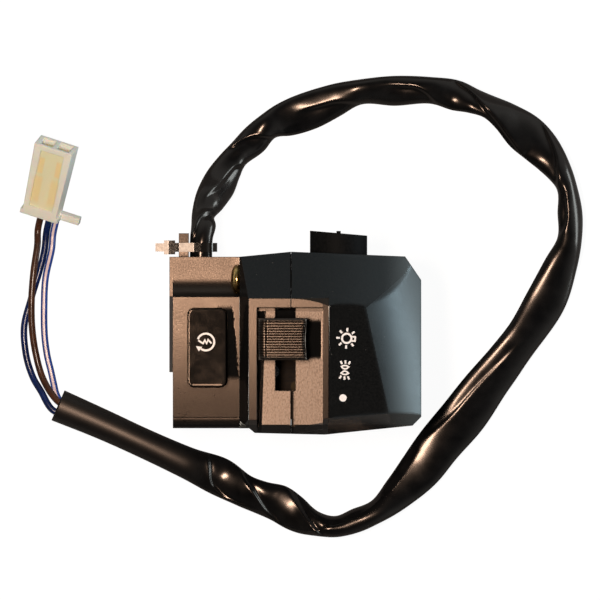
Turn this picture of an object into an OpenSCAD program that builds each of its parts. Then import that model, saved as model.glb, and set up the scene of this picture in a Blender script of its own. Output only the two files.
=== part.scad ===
// Handlebar switch cluster: start button, three-position light slider, bar clamp and lead.
// X runs across the bar, Y along the bar, Z out of the front face. The origin is on the bar's axis.

/* [Bar clamp] */
// Radius of the bore that grips the bar
bar_r = 11.1; // [10.9:0.05:11.4]
// Wall between the bore and the switch room above it
bar_wall = 2.9; // [2.5:0.1:3.5]
// Length of the housing along the bar
body_len = 50.8; // [50:0.2:56]
// Gap left between the two half shells
seam_gap = 0.1; // [0.06:0.02:0.2]

/* [Housing] */
// Reach of the main body to the left of the seam
body_left = 14.3; // [14:0.1:15.5]
// Reach of the main body to the right of the seam
body_right = 36.4; // [35.5:0.1:39]
// Width of the block that carries the start button
block_w = 19.7; // [19.4:0.1:22]
// Thickness of the outer walls
wall = 2.2; // [1.8:0.1:2.4]
// Height of the switch room between its floor and its ceiling
room_h = 12.8; // [12.6:0.1:14]
// Depth of the thumb recess below the front frame
recess_depth = 3.2; // [2.6:0.1:3.6]
// Thickness of the plate under the thumb recess
floor_t = 2; // [1.6:0.1:2.6]
// Drop from the front frame to the button panel
panel_drop = 7; // [6:0.1:7.6]
// Length of the low shelf beside the clamp screw
shelf_len = 11.2; // [10.6:0.1:11.6]
// Length of the sloped face at the cable end
slope_len = 12.7; // [12.2:0.1:13.2]
// Drop of that sloped face from the frame to its end edge
slope_drop = 6.6; // [5.4:0.2:7.4]

/* [Light slider] */
// Length of the ribbed knob along the slot
knob_len = 11.8; // [10:0.1:12.4]
// Width of the ribbed knob
knob_w = 13.7; // [12.4:0.1:14]
// Height of the knob's raised lips above the recess floor
knob_h = 8; // [6.6:0.1:9]
// Step between the three switch positions
slider_step = 8.3; // [7.4:0.1:8.3]
// Number of ribs over the thumb face
rib_count = 12; // [8:1:14]
// Width of the slot that the stem runs in
slot_w = 5.7; // [5:0.1:6.2]

/* [Start button] */
// Width of the button across the bar
button_w = 10.4; // [9.6:0.1:10.8]
// Length of the button along the bar
button_len = 21.6; // [19:0.1:22]
// Height of the button above its panel
button_proud = 4; // [3.6:0.1:5]
// Travel of the button
button_travel = 2.5; // [2:0.1:2.7]

/* [Fasteners] */
// Radius of a clamp screw's shank
screw_r = 2.5; // [2.2:0.05:2.6]
// Radius of a clamp screw's domed head
screw_head_r = 4; // [3.7:0.05:4.2]
// Radius of the round plug on the end face
plug_r = 8; // [7.4:0.1:8.2]

/* [Lead] */
// Diameter of the soft sleeve on the table
sleeve_d = 9; // [8:0.1:9.6]
// Diameter of one wire
wire_d = 1.9; // [1.5:0.1:2.1]
// Width of the plug body at its wire end
conn_w = 9.8; // [9.4:0.1:10.6]
// Length of the plug body
conn_len = 22; // [20:0.2:24]
// Thickness of the plug body
conn_t = 6.2; // [5.8:0.1:7]

/* [Hidden] */
$fn = 48;

// Clearances
run_gap = 0.3;
touch_gap = 0.05;
past = 1;
reach = 120;

// Heights, from the bar's axis upwards and downwards
room_floor_z = bar_r + bar_wall;
room_top_z = room_floor_z + room_h;
floor_z = room_top_z + floor_t;
front_z = floor_z + recess_depth;
panel_z = front_z - panel_drop;
edge_z = front_z - slope_drop;
screw_wall = 2.4;
screw_z = bar_r + screw_wall + screw_r;
back_wall = 2;
back_z = -(screw_z + screw_r + back_wall);
shelf_z = screw_z - screw_head_r - 0.5;
hip = 20;
hip_z = -9.5;
side_low_z = -6;
right_low_z = 1;

// Places along the bar
end_y = body_len / 2;
end_lean = 1;
block_top_y = end_y - end_lean;
block_bottom_y = -end_y + 1.9;
panel_top_y = block_top_y - shelf_len;
frame_top_y = end_y - slope_len;
frame_bar = 2.5;
recess_top_y = frame_top_y - frame_bar;
recess_end_y = -end_y + 2.8;

// Places across the bar
frame_left = body_left - 2.5;
frame_right = 10.5;
frame_side = 1.9;
block_left = -(body_left + block_w);
recess_left = -frame_left + 2.3;
recess_right = frame_right - frame_side + 0.4;

// Corners of the sloped faces right of the frame
symbol_slope = 0.28;
ridge_top_out = 9.5;
ridge_bottom_out = 16.5;
ridge_start = 1.2;
ridge_lift = 6.1;
side_fall = 12;
end_fall = 17;
end_lift = 0.8;
ridge_top = [
    frame_right + ridge_top_out, frame_top_y - ridge_start, front_z - symbol_slope * ridge_top_out
];
ridge_bottom = [
    frame_right + ridge_bottom_out, -end_y + ridge_lift, front_z - symbol_slope * ridge_bottom_out
];
right_low = [body_right, ridge_bottom[1] - end_lift, front_z - side_fall];
end_low = [ridge_top[0], -end_y + end_lift, front_z - end_fall];
seam_top = [0, frame_top_y, front_z];
seam_end = [0, end_y + 0.4, edge_z];

// Barrel of the right side, and the rounded fall of the cable end, both as large rods
side_r = 45;
side_lean = 28;
side_offset = side_r * [sin(side_lean), 0, cos(side_lean)];
top_r = 63;
top_overrun = 9;
corner_cut = 4.5;
corner_fall = 7.5;
slope_angle = atan2(slope_drop, seam_end[1] - seam_top[1]);
top_offset = top_r * [0, sin(slope_angle), cos(slope_angle)];

// Gentle crown of the button panel
panel_r = 220;
panel_wall = 3.2;

// Light slider
slot_x = -1.55;
knob_x = -2.35;
knob_top_gap = 2.9;
knob_top_y = recess_top_y - knob_top_gap;
knob_y = knob_top_y - knob_len / 2;
slider_travel = 2 * slider_step;
stem_w = slot_w - 2 * run_gap;
stem_len = 3.2;
stem_y = knob_top_y - 0.2 - stem_len / 2;
stem_in_knob = 3;
slot_top_y = recess_top_y - 0.2;
slot_bottom_y = stem_y - stem_len / 2 - slider_travel - run_gap;
carriage_w = 12;
carriage_len = 9.2;
carriage_h = 7;
carriage_y = stem_y - 0.7;
carriage_top_z = room_top_z - run_gap;
carriage_z = carriage_top_z - carriage_h;
room_w = carriage_w + 2 * run_gap;
room_left = slot_x - room_w / 2;
room_right = slot_x + room_w / 2;
room_top_y = recess_top_y + 2.3;
room_bottom_y = recess_end_y + 1.4;

// Detent in the side of the carriage
ball_r = 1.5;
ball_out = 0.6;
ball_x = slot_x + carriage_w / 2 + ball_out - ball_r;
ball_z = carriage_top_z - 2.5;
ball_bore_r = ball_r + 0.1;
detent_bore_end = ball_x - ball_r - 2.6;
channel_half = ball_r + run_gap;
notch_r = ball_r + 0.7;

// Contacts under the slider
board_t = 1.6;
board_gap = 0.2;
contact_r = 1.5;
contact_h = 0.8;
contact_spread = 3;
bridge_t = 0.8;
board_top_z = room_floor_z + board_t;
bridge_z = board_top_z + contact_h + touch_gap;
slider_spring_r = 1.7;
slider_spring_top = carriage_z + 2;

// Start button and its switch
button_x = block_left + wall + 0.4 + button_w / 2 + 2.7 + 0.1;
button_y = (panel_top_y + block_bottom_y) / 2 + 4.1;
button_corner = 1.6;
flange_edge = 1.2;
flange_t = 2.6;
flange_top_z = panel_z - panel_wall - 0.2;
flange_z = flange_top_z - flange_t;
start_room_left = block_left + wall;
start_room_right = -body_left - wall + 0.1;
start_room_top_y = button_y + button_len / 2 + flange_edge + 0.4;
start_room_bottom_y = button_y - button_len / 2 - flange_edge - 0.4;
base_z = 5;
base_t = 2;
base_top_z = base_z + base_t;
base_right = start_room_right - 3.2;
base_ledge = 3.2;
wire_room_z = -4;
start_contact_h = 1.1;
start_bridge_z = base_top_z + start_contact_h + 0.1 + button_travel;
start_bridge_w = 11;
start_bridge_len = 4;
start_post_r = 2.5;
start_x = (start_room_left + base_right) / 2;
start_contact_spread = 4.2;
start_well_z = base_z + 0.4;
start_spring_r = 2.5;

// Clamp screws and their inserts
screw_y = [block_top_y - 6.3, -12];
screw_side = [1, -1];
screw_hole_r = screw_r + 0.25;
screw_head_t = 2.5;
insert_r = screw_r + 1.1;
insert_start = 0.5;
insert_len = 8;
head_room_r = screw_head_r + 0.4;

// Small screws that hold the contact boards
tap_r = 1.1;
tap_head_r = 2;
tap_head_t = 0.9;
tap_depth = 3.2;
tap_x = slot_x - 3.7;

// Round plug on the end face
plug_x = 13.3;
plug_z = 14.6;
plug_len = 6;
plug_seat_y = end_y - end_lean - 0.4;
plug_spigot_r = 5;
plug_spigot_len = 2;

// Cable entry, tongue and tie
cable_in = 8.8;
cable_x = block_left + cable_in;
cable_z = 0.5;
sleeve_neck_r = 3.35;
cable_hole_r = sleeve_neck_r + run_gap;
tongue_t = 2.8;
tongue_gap = 0.05;
tongue_right = cable_x - sleeve_neck_r - tongue_gap;
tongue_len = 6.6;
tongue_h = 2 * sleeve_neck_r + 0.1;
tie_w = 2.5;
tie_t = 1.1;
tie_y = block_top_y + 1.4;
tie_head = 3;
tie_tail = 2.4;
sleeve_start_y = block_top_y - 6;

// Table plane, and the free lead that lies on it
table_z = back_z;
sleeve_r = sleeve_d / 2;
wire_r = wire_d / 2;
sleeve_side_count = 10;
wire_side_count = 8;
lie = table_z + sleeve_r;
flat = table_z + wire_r;

// Route of the sleeve: x, y, z and radius
sleeve_route = [
    [cable_x, sleeve_start_y, cable_z, sleeve_neck_r],
    [cable_x, block_top_y + 0.4, cable_z, sleeve_neck_r],
    [cable_x, block_top_y + tongue_len, cable_z, sleeve_neck_r],
    [-24.5, 37, -4, 4],
    [-21.5, 44, -10, sleeve_r],
    [-17.5, 50, -14, sleeve_r],
    [-12.5, 55, lie, sleeve_r],
    [-6, 60.5, lie, sleeve_r],
    [1.5, 64.5, lie, sleeve_r],
    [10, 67.5, lie, sleeve_r],
    [19, 70, lie, sleeve_r],
    [29, 71, lie, sleeve_r],
    [39, 71, lie, sleeve_r],
    [47, 69.5, lie, sleeve_r],
    [55, 66, lie, sleeve_r],
    [62, 61.5, lie, sleeve_r],
    [68.5, 57, lie, sleeve_r],
    [73.5, 51.5, lie, sleeve_r],
    [77, 45, lie, sleeve_r],
    [78.5, 37, lie, sleeve_r],
    [78, 29, lie, sleeve_r],
    [75.5, 21, lie, sleeve_r],
    [72, 12.5, lie, sleeve_r],
    [67, 4, lie, sleeve_r],
    [60.5, -4.5, lie, sleeve_r],
    [54, -12.5, lie, sleeve_r],
    [47.5, -21.5, lie, sleeve_r],
    [42, -29, lie, sleeve_r],
    [37, -35.5, lie, sleeve_r],
    [31.5, -41, lie, sleeve_r],
    [25, -46, lie, sleeve_r],
    [18, -49, lie, sleeve_r],
    [11, -50.5, lie, sleeve_r],
    [4, -49.5, lie, sleeve_r],
    [-4, -45.5, lie, sleeve_r],
    [-12, -41.5, lie, sleeve_r],
    [-20, -37, lie, sleeve_r],
    [-29, -33, lie, sleeve_r],
    [-41, -28, lie, sleeve_r],
    [-53, -23, lie, sleeve_r],
    [-65.5, -17.5, lie, sleeve_r]
];

// Plug at the end of the lead
conn_turn = 12.5;
conn_pitch = 26;
conn_roll = 12;
conn_flare = 1.4;
conn_rim_t = 1.4;
conn_rim_out = 0.7;
conn_tab_reach = 6;
conn_tab_t = 2;
conn_way = 2.5;
conn_pocket_w = 3.8;
conn_pocket_h = 4.2;
conn_pocket_len = 9;
conn_border = 1.5;
conn_window_t = 0.5;
conn_foot_lift = 0.1 + (conn_w / 2 + conn_rim_out) * sin(conn_roll) * cos(conn_pitch);
conn_foot = [-69.05, 37.6, table_z + conn_foot_lift];
wire_touch = 0.02;
wire_straight = 5;
brown_way = -0.1;
blue_way = 2.45;
striped_way = 4.45;
blade_w = 2.8;
blade_t = 0.8;
blade_len = 14;
sleeve_end = sleeve_route[len(sleeve_route) - 1];

// Routes of the three wires from the sleeve's open end to the plug, as points on the table
brown_route = concat([
    [-65.6, -15.9, lie + 0.6], [-69.5, -10, flat + 1.6], [-71.6, -2.9, flat + 0.8], [-72.7, 4.9, flat + 1.6],
    [-72.8, 12.7, flat + 2.25], [-72.2, 20.5, flat + 2.2], [-71.2, 27.5, flat + 1.4]
], into_plug(brown_way));
blue_route = concat([
    [-66.8, -18.6, lie], [-70.2, -13.2, flat + 2], [-72.6, -9, flat + 0.4], [-74.4, -2.9, flat],
    [-74.9, 4.9, flat], [-73, 12.5, flat], [-70.6, 20.5, flat], [-69.2, 26.3, flat + 0.4]
], into_plug(blue_way));
striped_route = concat([
    [-66.2, -16.6, lie - 1.8], [-65.6, -12.6, flat + 1.2], [-67.1, -8.8, flat], [-68.5, -2.9, flat],
    [-69.2, 2.9, flat], [-69.3, 10.7, flat], [-68.9, 18.5, flat], [-67.2, 26.3, flat + 1.6]
], into_plug(striped_way));

// Geometry helpers
function unit(v) = v / norm(v);
function facing_up(n) = n[2] < 0 ? -n : n;
function face(p, q, r) = [p, unit(facing_up(cross(q - p, r - p)))];
function cord_heading(route, i) =
    let (last = len(route) - 1)
    unit(route[min(i + 1, last)] - route[max(i - 1, 0)]);
function rolled(p, a) = [p[0] * cos(a) - p[2] * sin(a), p[1], p[0] * sin(a) + p[2] * cos(a)];
function pitched(p, a) = [p[0], p[1] * cos(a) - p[2] * sin(a), p[1] * sin(a) + p[2] * cos(a)];
function swung(p, a) = [p[0] * cos(a) + p[1] * sin(a), p[1] * cos(a) - p[0] * sin(a), p[2]];
function plug_point(p) = conn_foot + swung(pitched(rolled(p, conn_roll), conn_pitch), conn_turn);
function into_plug(x) = [for (y = [wire_touch + wire_straight, wire_touch]) plug_point([x, -y, conn_t / 2])];
function cord_point(p) = [p[0], p[1], p[2]];
function cord_side(t) = unit(cross(t, [0, 0, 1]));

// Sloped faces of the main body, each as a point and an outward direction
BODY_FACES = [
    face(seam_top, seam_end, [-frame_left, frame_top_y, front_z]),
    face([frame_right, 0, front_z], ridge_top, ridge_bottom),
    face(ridge_bottom, right_low, end_low),
    [[0, recess_end_y, floor_z], unit([0, -1, 0.45])],
    [[-frame_left, 0, front_z], unit([-panel_drop, 0, body_left - frame_left])]
];

// Everything on the far side of a sloped face, moved inwards by a wall
module beyond(plane, inset = 0) {
    n = plane[1];
    translate(plane[0] - inset * n)
        rotate([0, acos(n[2]), atan2(n[1], n[0])])
            translate([-reach, -reach, 0])
                cube([2 * reach, 2 * reach, reach]);
}

// A long rod through two points
module axis_rod(p, q, r) {
    d = unit(q - p);
    translate(p)
        rotate([0, acos(d[2]), atan2(d[1], d[0])])
            translate([0, 0, -reach])
                cylinder(h = 3 * reach, r = r, $fn = 180);
}

// Everything outside the rounded faces of the lamp half, moved inwards by a wall
module beyond_barrels(inset = 0) {
    difference() {
        span([frame_right, -reach, 0], [reach, reach, reach]);
        axis_rod(ridge_top - side_offset, ridge_bottom - side_offset, side_r - inset);
    }
    difference() {
        span([0, frame_top_y - top_overrun, 0], [reach, reach, reach]);
        axis_rod(seam_top - top_offset, seam_end - top_offset, top_r - inset);
    }
}

// A box between two corners
module span(low, high) {
    translate(low)
        cube(high - low);
}

// A round rod along X, Y or Z
module rod_x(x0, x1, y, z, r) {
    translate([x0, y, z])
        rotate([0, 90, 0])
            cylinder(h = x1 - x0, r = r);
}

module rod_y(x, y0, y1, z, r) {
    translate([x, y1, z])
        rotate([90, 0, 0])
            cylinder(h = y1 - y0, r = r);
}

module rod_z(x, y, z0, z1, r) {
    translate([x, y, z0])
        cylinder(h = z1 - z0, r = r);
}

// A rectangle with round corners, from plain squares and circles
module round_rectangle(w, l, r) {
    square([w - 2 * r, l], center = true);
    square([w, l - 2 * r], center = true);
    for (sx = [-1, 1])
        for (sy = [-1, 1])
            translate([sx * (w / 2 - r), sy * (l / 2 - r)])
                circle(r);
}

// A closed spring, drawn as a pleated tube along Z
module pleated_spring(r, length, turns) {
    pitch = length / turns;
    thick = 0.5;
    outer = [for (i = [0 : 2 * turns]) [i % 2 == 0 ? r - thick : r, i * pitch / 2]];
    inner = [for (i = [2 * turns : -1 : 0]) [(i % 2 == 0 ? r - thick : r) - thick, i * pitch / 2]];
    rotate_extrude()
        polygon(concat(outer, inner));
}

// A tube swept along a list of points, each with its own radius
module cord(points, radii, sides) {
    count = len(points);
    rings = [
        for (i = [0 : count - 1])
            let (t = cord_heading(points, i), u = cord_side(t), v = cross(u, t))
            for (k = [0 : sides - 1])
                points[i] + radii[i] * (cos(360 * k / sides) * u + sin(360 * k / sides) * v)
    ];
    skin = [
        for (i = [0 : count - 2])
            for (k = [0 : sides - 1])
                let (a = i * sides + k, b = i * sides + (k + 1) % sides)
                for (f = [[a, b, b + sides], [a, b + sides, a + sides]])
                    f
    ];
    first = [for (k = [1 : sides - 2]) [0, k + 1, k]];
    base = (count - 1) * sides;
    last = [for (k = [1 : sides - 2]) [base, base + k, base + k + 1]];
    polyhedron(points = rings, faces = concat(skin, first, last));
}

module wire(route) {
    cord(route, [for (p = route) wire_r], wire_side_count);
}

// Outer form of the main body
module main_body() {
    difference() {
        translate([0, 0, back_z])
            linear_extrude(front_z - back_z)
                polygon([
                    [-body_left, end_y - end_lean],
                    [0, end_y + 0.4],
                    [body_right - corner_cut, end_y - 0.9],
                    [body_right, end_y - corner_fall],
                    [body_right, -end_y + 5.1],
                    [body_right - 2.4, -end_y + 2.6],
                    [frame_right - 1, -end_y + 0.1],
                    [-frame_left + 1.7, -end_y + 0.6],
                    [-body_left, -end_y + 4.1]
                ]);
        for (plane = BODY_FACES)
            beyond(plane);
        beyond_barrels();
    }
}

// The corner of stock that a rounded edge along X takes away
module edge_along_x(y, z, r) {
    difference() {
        span([-reach, y - past, z - r], [reach, y + r, z + past]);
        rod_x(-reach - past, reach + past, y + r, z - r, r);
    }
}

// Outer form of the block that carries the start button
module button_block() {
    side_step = 1;
    step_below = 6.8;
    step_y = button_y - step_below;
    block_lean = 0.6;
    lean_drop = 6;
    edge_r = 3;
    fillet_r = 5;
    crown_drop = pow(panel_top_y - block_bottom_y, 2) / (2 * panel_r);
    difference() {
        span([block_left, block_bottom_y, back_z], [-frame_left, block_top_y, panel_z]);
        span([block_left - past, panel_top_y, shelf_z], [-body_left, end_y + past, panel_z + past]);
        span([block_left - past, block_bottom_y - past, back_z - past],
            [block_left + side_step, step_y, panel_z + past]);
        beyond([[block_left + side_step, 0, panel_z], unit([-lean_drop, 0, block_lean])]);
        edge_along_x(block_bottom_y, panel_z - crown_drop, edge_r);
        difference() {
            span([block_left - past, -reach, 0], [-body_left, panel_top_y, reach]);
            rod_x(block_left - 2 * past, 0, panel_top_y, panel_z - panel_r, panel_r, $fn = 180);
        }
    }
    difference() {
        span([block_left + side_step, panel_top_y - past, shelf_z - past],
            [-body_left + past, panel_top_y + fillet_r, shelf_z + fillet_r]);
        rod_x(block_left - past, 0, panel_top_y + fillet_r, shelf_z + fillet_r, fillet_r);
    }
}

// Back of the housing, stepped in to a narrow foot under the bar
module back_outline() {
    foot = 17;
    polygon([
        [block_left - past, front_z + past],
        [block_left - past, side_low_z + 0.7],
        [block_left, side_low_z],
        [-hip, hip_z],
        [-foot, back_z],
        [foot, back_z],
        [hip, hip_z],
        [body_right, right_low_z],
        [body_right + past, right_low_z + 0.7],
        [body_right + past, front_z + past]
    ]);
}

module housing_form() {
    intersection() {
        union() {
            main_body();
            button_block();
        }
        translate([0, reach, 0])
            rotate([90, 0, 0])
                linear_extrude(2 * reach)
                    back_outline();
    }
}

// Hollows that both half shells share
module shared_hollows() {
    groove_t = 1.5;
    groove_top = 2.5;
    groove_low = 0.3;
    seam_w = 1.1;
    seam_t = 1.2;
    rod_y(0, -end_y - past, end_y + past, 0, bar_r);
    span([recess_left, -end_y - past, floor_z], [recess_right, recess_top_y, front_z + past]);
    span([slot_x - slot_w / 2, slot_bottom_y, room_top_z - past],
        [slot_x + slot_w / 2, slot_top_y, front_z]);
    span([0, recess_end_y - 3, floor_z - seam_t], [seam_w, slot_bottom_y + past, front_z]);
    translate([0, 0, floor_z - groove_t])
        linear_extrude(groove_t + past)
            polygon([
                [recess_left, recess_top_y],
                [recess_left + groove_top, recess_top_y],
                [recess_left + groove_low, recess_end_y - 3],
                [recess_left, recess_end_y - 3]
            ]);
    span([room_left, room_bottom_y, room_floor_z], [room_right, room_top_y, room_top_z]);
    for (i = [0, 1])
        rod_x(-body_left - past, insert_start + insert_len,
            screw_y[i], screw_side[i] * screw_z, screw_hole_r);
}

module button_half() {
    color([0.09, 0.085, 0.08])
    difference() {
        union() {
            intersection() {
                housing_form();
                span([-reach, -reach, -reach], [-seam_gap / 2, reach, reach]);
            }
            span([tongue_right - tongue_t, block_top_y - past, cable_z - tongue_h / 2],
                [tongue_right, block_top_y + tongue_len, cable_z + tongue_h / 2]);
        }
        shared_hollows();
        button_opening();
        span([start_room_left, start_room_bottom_y, base_z],
            [start_room_right, start_room_top_y, panel_z - panel_wall]);
        span([start_room_left, start_room_bottom_y + base_ledge, wire_room_z],
            [start_room_right, start_room_top_y - base_ledge, base_z + past]);
        rod_y(cable_x, start_room_top_y - base_ledge - past, end_y + past, cable_z, cable_hole_r);
        rod_x(start_room_right - past, room_left + past, lead_cross_y, lead_cross_z, lead_hole_r);
        rod_x(-reach, -body_left, screw_y[1], -screw_z, head_room_r);
        for (y = tap_places)
            rod_z(tap_x, y, room_floor_z - tap_depth - 0.2, room_floor_z + past, tap_r);
        for (y = base_tap_places)
            rod_z(start_x, y, base_z - tap_depth - 0.2, base_z + past, tap_r);
    }
}

module button_opening() {
    translate([button_x, button_y, panel_z - panel_wall - past])
        linear_extrude(panel_wall + 2 * past)
            round_rectangle(button_w + 2 * run_gap, button_len + 2 * run_gap, button_corner + run_gap);
}

module lamp_half() {
    color([0.1, 0.1, 0.105])
    difference() {
        intersection() {
            housing_form();
            span([seam_gap / 2, -reach, -reach], [reach, reach, reach]);
        }
        shared_hollows();
        lamp_room();
        for (i = [0, 1])
            rod_x(-past, insert_start + insert_len, screw_y[i], screw_side[i] * screw_z, insert_r);
        rod_y(plug_x, plug_seat_y, end_y + past, plug_z, plug_r + 0.1);
        rod_y(plug_x, plug_seat_y - plug_spigot_len - 0.2, end_y, plug_z, plug_spigot_r);
        span([room_right - past, ball_travel_low - channel_half, ball_z - channel_half],
            [ball_x + ball_r + run_gap, ball_y + channel_half, ball_z + channel_half]);
        for (i = [0 : 2])
            rod_z(ball_x, ball_y - i * slider_step, ball_z - channel_half, ball_z + channel_half, notch_r);
    }
}

// Empty room inside the lamp half, a wall in from every face
module lamp_room() {
    room_wall = 2.4;
    side_wall = 2.2;
    low_y = -end_y + 6;
    low_z = -4;
    difference() {
        union() {
            span([room_right + room_wall, low_y, low_z], [recess_right + room_wall, room_top_y, room_top_z]);
            span([recess_right + room_wall, low_y, low_z], [body_right - room_wall, room_top_y, front_z]);
            span([plug_x + 2.3, 0, low_z], [body_right - room_wall, end_y - 5.4, front_z]);
        }
        for (plane = BODY_FACES)
            beyond(plane, room_wall);
        beyond_barrels(room_wall);
        rod_y(0, -reach, reach, 0, room_floor_z);
        beyond([[body_right - corner_cut, end_y - 0.9, 0], unit([corner_fall - 0.9, corner_cut, 0])],
            side_wall);
        rod_y(plug_x, 0, reach, plug_z, plug_spigot_r + side_wall);
        beyond([[body_right, 0, right_low_z], unit([right_low_z - hip_z, 0, hip - body_right])], side_wall);
    }
}

module end_plug() {
    nub_r = 0.6;
    slant = 0.087;
    rim_y = plug_seat_y + plug_len + end_lean;
    color([0.05, 0.05, 0.05])
    union() {
        difference() {
            rod_y(plug_x, plug_seat_y, rim_y + past, plug_z, plug_r);
            beyond([[plug_x, rim_y, plug_z], unit([slant, 1, 0])]);
        }
        rod_y(plug_x, plug_seat_y - plug_spigot_len, plug_seat_y + past, plug_z, plug_spigot_r);
        rod_y(plug_x, rim_y - past, rim_y + nub_r, plug_z + plug_r - 2 * nub_r, nub_r);
    }
}

// One clamp screw with a domed head, lying along X with its seat at the origin
module clamp_screw() {
    dome_r = (screw_head_r * screw_head_r + screw_head_t * screw_head_t) / (2 * screw_head_t);
    slot_t = 1;
    slot_depth = 1.1;
    rod_x(-0.2, body_left + insert_start + insert_len, 0, 0, screw_r);
    difference() {
        intersection() {
            translate([dome_r - screw_head_t, 0, 0])
                sphere(dome_r);
            rod_x(-screw_head_t, 0, 0, 0, screw_head_r);
        }
        for (turn = [0, 90])
            rotate([turn, 0, 0])
                span([-screw_head_t - past, -screw_head_r * 0.6, -slot_t / 2],
                    [-screw_head_t + slot_depth, screw_head_r * 0.6, slot_t / 2]);
    }
}

module clamp_screws() {
    color([0.78, 0.6, 0.3])
    for (i = [0, 1])
        translate([-body_left, screw_y[i], screw_side[i] * screw_z])
            clamp_screw();
}

module thread_inserts() {
    color([0.75, 0.58, 0.3])
    for (i = [0, 1])
        difference() {
            rod_x(insert_start, insert_start + insert_len, screw_y[i], screw_side[i] * screw_z, insert_r);
            rod_x(insert_start - past, insert_start + insert_len + past,
                screw_y[i], screw_side[i] * screw_z, screw_r);
        }
}

module start_button() {
    color([0.03, 0.03, 0.03])
    difference() {
        union() {
            translate([button_x, button_y, flange_z])
                linear_extrude(panel_z + button_proud - flange_z)
                    round_rectangle(button_w, button_len, button_corner);
            translate([button_x, button_y, flange_z])
                linear_extrude(flange_t)
                    round_rectangle(button_w + 2 * flange_edge, button_len + 2 * flange_edge, button_corner);
            rod_z(start_x, button_y, start_bridge_z + bridge_t, flange_z + past, start_post_r);
        }
        span([button_x - button_w / 2 + wall, button_y + start_post_r + wall, flange_z - past],
            [button_x + button_w / 2 - wall, button_y + button_len / 2 - wall,
                panel_z + button_proud - wall]);
        span([button_x - button_w / 2 + wall, button_y - button_len / 2 + wall, flange_z - past],
            [button_x + button_w / 2 - wall, button_y - start_post_r - wall, panel_z + button_proud - wall]);
    }
}

module start_contact_bridge() {
    color([0.72, 0.45, 0.25])
    span([start_x - start_bridge_w / 2, button_y - start_bridge_len / 2, start_bridge_z],
        [start_x + start_bridge_w / 2, button_y + start_bridge_len / 2, start_bridge_z + bridge_t]);
}

module start_return_spring() {
    color([0.7, 0.7, 0.72])
    translate([start_x, button_y, start_well_z])
        pleated_spring(start_spring_r, start_bridge_z - start_well_z, 6);
}

module start_contact_base() {
    color([0.4, 0.25, 0.14])
    difference() {
        span([start_room_left + board_gap, start_room_bottom_y + board_gap, base_z],
            [base_right, start_room_top_y - board_gap, base_top_z]);
        rod_z(start_x, button_y, start_well_z, base_top_z + past, start_spring_r + run_gap);
        for (side = [-1, 1])
            rod_z(start_x + side * start_contact_spread, button_y, base_z - past, base_top_z + past, lead_r);
        for (y = base_tap_places) {
            rod_z(start_x, y, base_z - past, base_top_z + past, tap_r);
            rod_z(start_x, y, base_top_z - tap_head_t, base_top_z + past, tap_head_r);
        }
    }
}

module start_fixed_contacts() {
    color([0.8, 0.62, 0.35])
    for (side = [-1, 1]) {
        rod_z(start_x + side * start_contact_spread, button_y,
            base_top_z, base_top_z + start_contact_h, contact_r);
        rod_z(start_x + side * start_contact_spread, button_y, base_z, base_top_z + 0.2, lead_r);
    }
}

// Thumb face of the knob: a hollow between two lips, cut into ribs
module knob_profile() {
    scoop = 2.4;
    lip = 1.2;
    rib_t = 0.35;
    half = knob_len / 2;
    inner = half - lip;
    steps = 2 * rib_count;
    height = knob_h - run_gap;
    thumb = [
        for (i = [0 : steps])
            let (s = -1 + 2 * i / steps)
            [s * inner, height - scoop * (1 - s * s) - (i % 2 == 0 ? 0 : rib_t)]
    ];
    polygon(concat(
        [[half, 0], [-half, 0]],
        [[-half, height - lip], [-half + lip / 2, height]],
        thumb,
        [[half - lip / 2, height], [half, height - lip]]
    ));
}

module slider_knob() {
    end_scoop_r = 14;
    end_scoop = 1;
    color([0.05, 0.05, 0.055])
    difference() {
        translate([knob_x - knob_w / 2, knob_y, floor_z + run_gap])
            rotate([90, 0, 90])
                linear_extrude(knob_w)
                    knob_profile();
        rod_z(knob_x + knob_w / 2 + end_scoop_r - end_scoop, knob_y,
            floor_z, floor_z + knob_h + past, end_scoop_r);
        beyond([[knob_x - knob_w / 2 + 1.6, 0, floor_z + knob_h], unit([-4, 0, 1.6])]);
        stem_form();
    }
}

module stem_form() {
    span([slot_x - stem_w / 2, stem_y - stem_len / 2, carriage_top_z - past],
        [slot_x + stem_w / 2, stem_y + stem_len / 2, floor_z + run_gap + stem_in_knob]);
}

module slider_carriage() {
    color([0.75, 0.73, 0.68])
    difference() {
        union() {
            span([slot_x - carriage_w / 2, carriage_y - carriage_len / 2, carriage_z],
                [slot_x + carriage_w / 2, carriage_y + carriage_len / 2, carriage_top_z]);
            stem_form();
        }
        rod_x(detent_bore_end, slot_x + carriage_w / 2 + past, ball_y, ball_z, ball_bore_r);
        rod_z(slot_x, carriage_y, carriage_z - past, slider_spring_top, slider_spring_r + 0.2);
    }
}

module detent_ball() {
    color([0.8, 0.8, 0.82])
    translate([ball_x, ball_y, ball_z])
        sphere(ball_r);
}

module detent_spring() {
    color([0.7, 0.7, 0.72])
    translate([detent_bore_end, ball_y, ball_z])
        rotate([0, 90, 0])
            pleated_spring(ball_bore_r - 0.2, ball_x - ball_r - detent_bore_end + touch_gap, 5);
}

module slider_contact_bridge() {
    bridge_half_w = 4.7;
    bridge_half_len = 2.4;
    color([0.72, 0.45, 0.25])
    span([slot_x - bridge_half_w, carriage_y - bridge_half_len, bridge_z],
        [slot_x + bridge_half_w, carriage_y + bridge_half_len, bridge_z + bridge_t]);
}

module slider_contact_spring() {
    color([0.7, 0.7, 0.72])
    translate([slot_x, carriage_y, bridge_z + bridge_t])
        pleated_spring(slider_spring_r, slider_spring_top - bridge_z - bridge_t, 5);
}

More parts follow.
